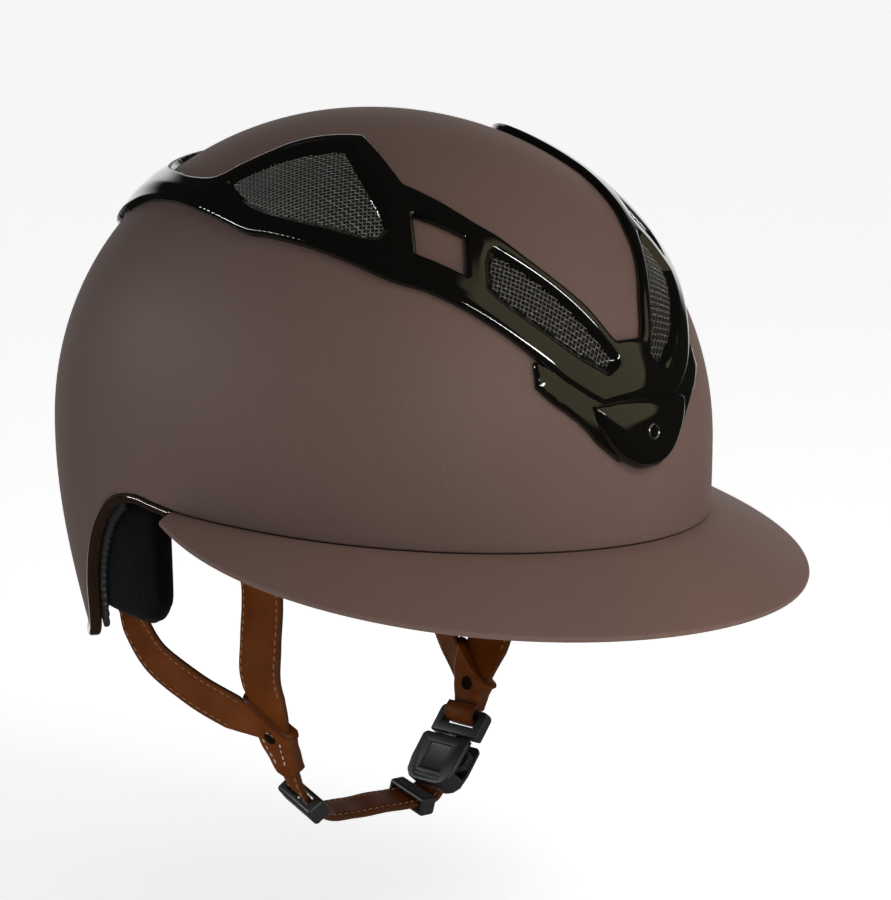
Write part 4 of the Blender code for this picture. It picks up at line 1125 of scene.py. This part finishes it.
def strap_frame(body, place, direction, outer, shift):
    """A ribbed plastic loop round the chin strap; the strap's hole is off its middle by shift."""
    along = Vector((direction[0], 0, direction[1])).normalized()
    lean = Vector(CHIN_LEAN)
    across = (lean - along * lean.dot(along)).normalized()
    axes = (along, across, along.cross(across).normalized())
    centre = Vector((place[0], 1.0, place[1])) * MM + RIM
    half = [size / 2 for size in outer]
    seat = (centre + axes[2] * shift * MM, axes)
    loop = block(body + "_loop", [-h for h in half], half, seat, 1.4)
    carve(loop, [block("hole", (-outer[0], -8.1, -2.1), (outer[0], 8.1, 2.1), (centre, axes))])
    cuts = []
    for k in (-1, 0, 1):
        at = k * (outer[0] - 2.2) / 3
        for base in (half[2] - 0.35, -half[2] - 1.65):
            cuts.append(block("groove", (at - 0.32, -half[1] + 2, base),
                              (at + 0.32, half[1] - 2, base + 2), seat))
    carve(loop, cuts, edge=0.15)
    fitted(loop, "buckle_plastic", "strap_" + body, body=body)


def make_strap_frames():
    """The slider and the keeper."""
    strap_frame("slider", (-34.0, -111.2), (12, -13), (7.5, 25, 8), -0.7)
    strap_frame("keeper", (20.5, -120.35), (1, -0.02), (7, 20, 7.4), 0)


# --- Anchors ---

def make_anchors():
    """Steel plates that hold the straps' tops, and their rivets."""
    axes = (Vector((0, 0, 1)), Vector((0, 1, 0)), Vector((1, 0, 0)))
    for side, word in SIDES:
        for place, half, where in (((83.0, -8, 30), 10, "front"), ((82, 53, 1), 7, "rear")):
            top = Vector(placed([place], side)[0])
            seat = (top + Vector((side * 2.4 * MM, 0, 0)), axes)
            name = f"{where}_{word}_anchor"
            plate = block(name + "_plate", (-8, -half, -0.8), (8, half, 0.8), seat, 0.5, STEEL)
            fitted(plate, "anchor_steel", name)
            middle = top + Vector((side * 1.1 * MM, 0, 0))
            pin = rivet(name + "_stud", middle, (1, 0, 0), 4.0 * MM, 6.0 * MM)
            fitted(pin, "rivet_steel", name + "_rivet")


# --- Liner and pads ---

def make_liner():
    """The foam liner: a smooth bowl with a rounded rim and air channels to the vents."""
    azimuth, height = both_halves(*rim_path(70))
    height = np.maximum(height + 4.5 * MM, -5.5 * MM)
    liner = bowl("foam_liner", azimuth, height, -4.4 * MM, -24.6 * MM, 3.0 * MM, (34, 34),
                 (0, 22, 45, 67, 90), FOAM)
    carve(liner, [field_plate("channel", grow(loop, -1.2), [], 1.6, level(1.0 * MM),
                              -33 * MM, FOAM) for loop in vent_loops().values()])
    fitted(liner, "foam", "impact_liner")


def inflated(pad, bulge):
    """Puffs a pad up as pressed cloth, no point by more than bulge."""
    rest = np.array([v.co for v in pad.data.vertices])
    cloth = modify(pad, "CLOTH").settings
    for key, value in (("quality", 5), ("mass", 0.2), ("use_pressure", True),
                       ("uniform_pressure_force", 4.0), ("tension_stiffness", 12),
                       ("compression_stiffness", 12), ("bending_stiffness", 1.0)):
        setattr(cloth, key, value)
    cloth.effector_weights.gravity = 0
    scene = bpy.context.scene
    for step in range(1, 21):
        scene.frame_set(step)
    apply_modifiers(pad)
    scene.frame_set(1)
    shift = np.array([v.co for v in pad.data.vertices]) - rest
    size = np.linalg.norm(shift, axis=1)
    shift *= (np.minimum(size, bulge) / np.maximum(size, 1e-9))[:, None]
    pad.data.vertices.foreach_set("co", (rest + shift).ravel())


def cushion(name, node_name, mat, finish, voxel, bulge=1.6 * MM):
    """A padded fabric piece: the CAD solid, remeshed, inflated as cloth, then eased."""
    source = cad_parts[node_name]
    mesh = evaluated(source)
    mesh.transform(source.matrix_world)
    mesh.materials.clear()
    middle = sum((v.co for v in mesh.vertices), Vector()) / len(mesh.vertices)
    mesh.transform(Matrix.Translation(middle) @ Matrix.Scale(0.97, 4)
                   @ Matrix.Translation(-middle))
    pad = finished(name, mesh, mat)
    modify(pad, "REMESH", mode="VOXEL", voxel_size=voxel)
    apply_modifiers(pad)
    inflated(pad, bulge)
    modify(pad, "SMOOTH", factor=0.5, iterations=3)
    modify(pad, "SUBSURF", levels=1, render_levels=1)
    apply_modifiers(pad)
    pad.data.shade_smooth()
    fitted(pad, finish, node_name)


def make_pads():
    for _, word in SIDES:
        cushion("nape_cushion_" + word, "nape_pad_" + word, NAPE_KNIT, "nape_fabric",
                2.1 * MM, bulge=1.0 * MM)
        cushion("side_cushion_" + word, "side_pad_" + word, KNIT, "comfort_fabric", 3.2 * MM)
    cushion("brow_cushion", "brow_pad", KNIT, "comfort_fabric", 3.6 * MM)
    cushion("crown_cushion", "crown_pad", KNIT, "comfort_fabric", 4.0 * MM)


# --- Studio ---

def staged(name, data, place, facing):
    """A light or a camera that looks along a direction."""
    holder = bpy.data.objects.new(name, data)
    holder.location = place
    holder.rotation_euler = Vector(facing).to_track_quat("-Z", "Y").to_euler()
    bpy.context.scene.collection.objects.link(holder)
    holder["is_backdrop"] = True
    return holder


def area_light(name, place, target, size, power):
    light = bpy.data.lights.new(name, "AREA")
    light.shape = "RECTANGLE"
    light.size, light.size_y = size
    light.energy = power
    return staged(name, light, place, Vector(target) - Vector(place))


def make_studio():
    """A pale floor below the opened strap, a plain room, two soft lights and two thin strips."""
    low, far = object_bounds()[0].z - FLOOR_DROP, 40
    floor_mat, tree, shader = principled("pale_floor", (0.86, 0.86, 0.86), 0.7,
                                         Emission_Color=(1, 1, 1, 1), Emission_Strength=0.66)
    ramp(tree, noise(tree, 60, 3.0), shader.inputs["Base Color"], (0.3, 0.85), (0.7, 0.87))
    floor = new_object("floor", [(-far, -far, low), (far, -far, low), (far, far, low),
                                 (-far, far, low)], [(0, 1, 2, 3)], floor_mat)
    floor.visible_glossy = False
    floor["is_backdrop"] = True
    world = bpy.data.worlds.new("studio")
    bpy.context.scene.world = world
    world.use_nodes = True
    light_room(world.node_tree)
    key = area_light("key", (0.10, -1.00, 0.78), (0, 0, -0.05), (0.7, 0.5), 6.5)
    fill = area_light("fill", (0.5, -0.95, 0.10), (0, 0, -0.08), (0.6, 0.6), 2.0)
    key.visible_glossy = fill.visible_glossy = False
    for name, place, size, power in (
            ("rear_strip", (-1.06, 0.90, 0.36), (1.1, 0.08), 9.5),
            ("front_strip", (-0.70, -1.18, 0.41), (1.0, 0.08), 8.0)):
        area_light(name, place, (0, 0, 0), size, power).visible_diffuse = False


def lobe(tree, direction, start, end):
    """1 for rays along a direction, easing to 0 away from it."""
    place = node(tree, "ShaderNodeTexCoord")
    dot = node(tree, "ShaderNodeVectorMath", operation="DOT_PRODUCT")
    tree.links.new(place.outputs["Generated"], dot.inputs[0])
    dot.inputs[1].default_value = Vector(direction).normalized()
    spread = node(tree, "ShaderNodeMapRange", interpolation_type="SMOOTHSTEP")
    spread.inputs["From Min"].default_value = start
    spread.inputs["From Max"].default_value = end
    tree.links.new(dot.outputs["Value"], spread.inputs["Value"])
    return spread.outputs["Result"]


def blended(tree, factor, low, high):
    """Mix of two colours, each a tuple or a socket."""
    mix = node(tree, "ShaderNodeMix", data_type="RGBA")
    tree.links.new(factor, mix.inputs[0])
    for target, value in ((mix.inputs[6], low), (mix.inputs[7], high)):
        if isinstance(value, tuple):
            target.default_value = (*value, 1)
        else:
            tree.links.new(value, target)
    return mix.outputs[2]


def light_room(tree):
    """White to the eye, soft grey as light, and a dark room with a few bright areas in gloss."""
    back = tree.nodes["Background"]
    rays = node(tree, "ShaderNodeLightPath")
    ahead = lobe(tree, (0.25, -0.75, 0.60), 0.79, 0.835)
    behind = lobe(tree, (0.67, 0.73, -0.05), 0.80, 0.95)
    room = blended(tree, ahead, (0.010, 0.010, 0.009), (0.50, 0.44, 0.27))
    room = blended(tree, behind, room, (0.95, 0.95, 0.95))
    lit = blended(tree, rays.outputs["Is Camera Ray"], (0.30, 0.30, 0.30), (0.97, 0.97, 0.97))
    tree.links.new(blended(tree, rays.outputs["Is Glossy Ray"], lit, room), back.inputs["Color"])
    back.inputs["Strength"].default_value = 1.0


def make_camera():
    """The photo's camera, as solved from the helmet's outline."""
    azimuth, elevation = np.radians(CAMERA_TURN)
    level_out = math.cos(elevation)
    back = Vector((math.sin(azimuth) * level_out, -math.cos(azimuth) * level_out,
                   math.sin(elevation)))
    camera = bpy.data.cameras.new("photo_view")
    camera.lens = CAMERA_LENS
    camera.shift_x, camera.shift_y = CAMERA_SHIFT
    camera.clip_start, camera.clip_end = 0.05, 50
    target = Vector((0, 0, RIM_Z + CAMERA_AIM))
    bpy.context.scene.camera = staged("photo_view", camera, target + back * CAMERA_REACH, -back)


for make in (make_shell, make_visor, make_trim, make_neck_edge, make_frame, make_brow_plate,
             make_sides, make_chin_strap, make_buckle, make_strap_frames, make_anchors,
             make_liner, make_pads, make_studio, make_camera):
    make()
bpy.context.scene.view_settings.view_transform = "Standard"
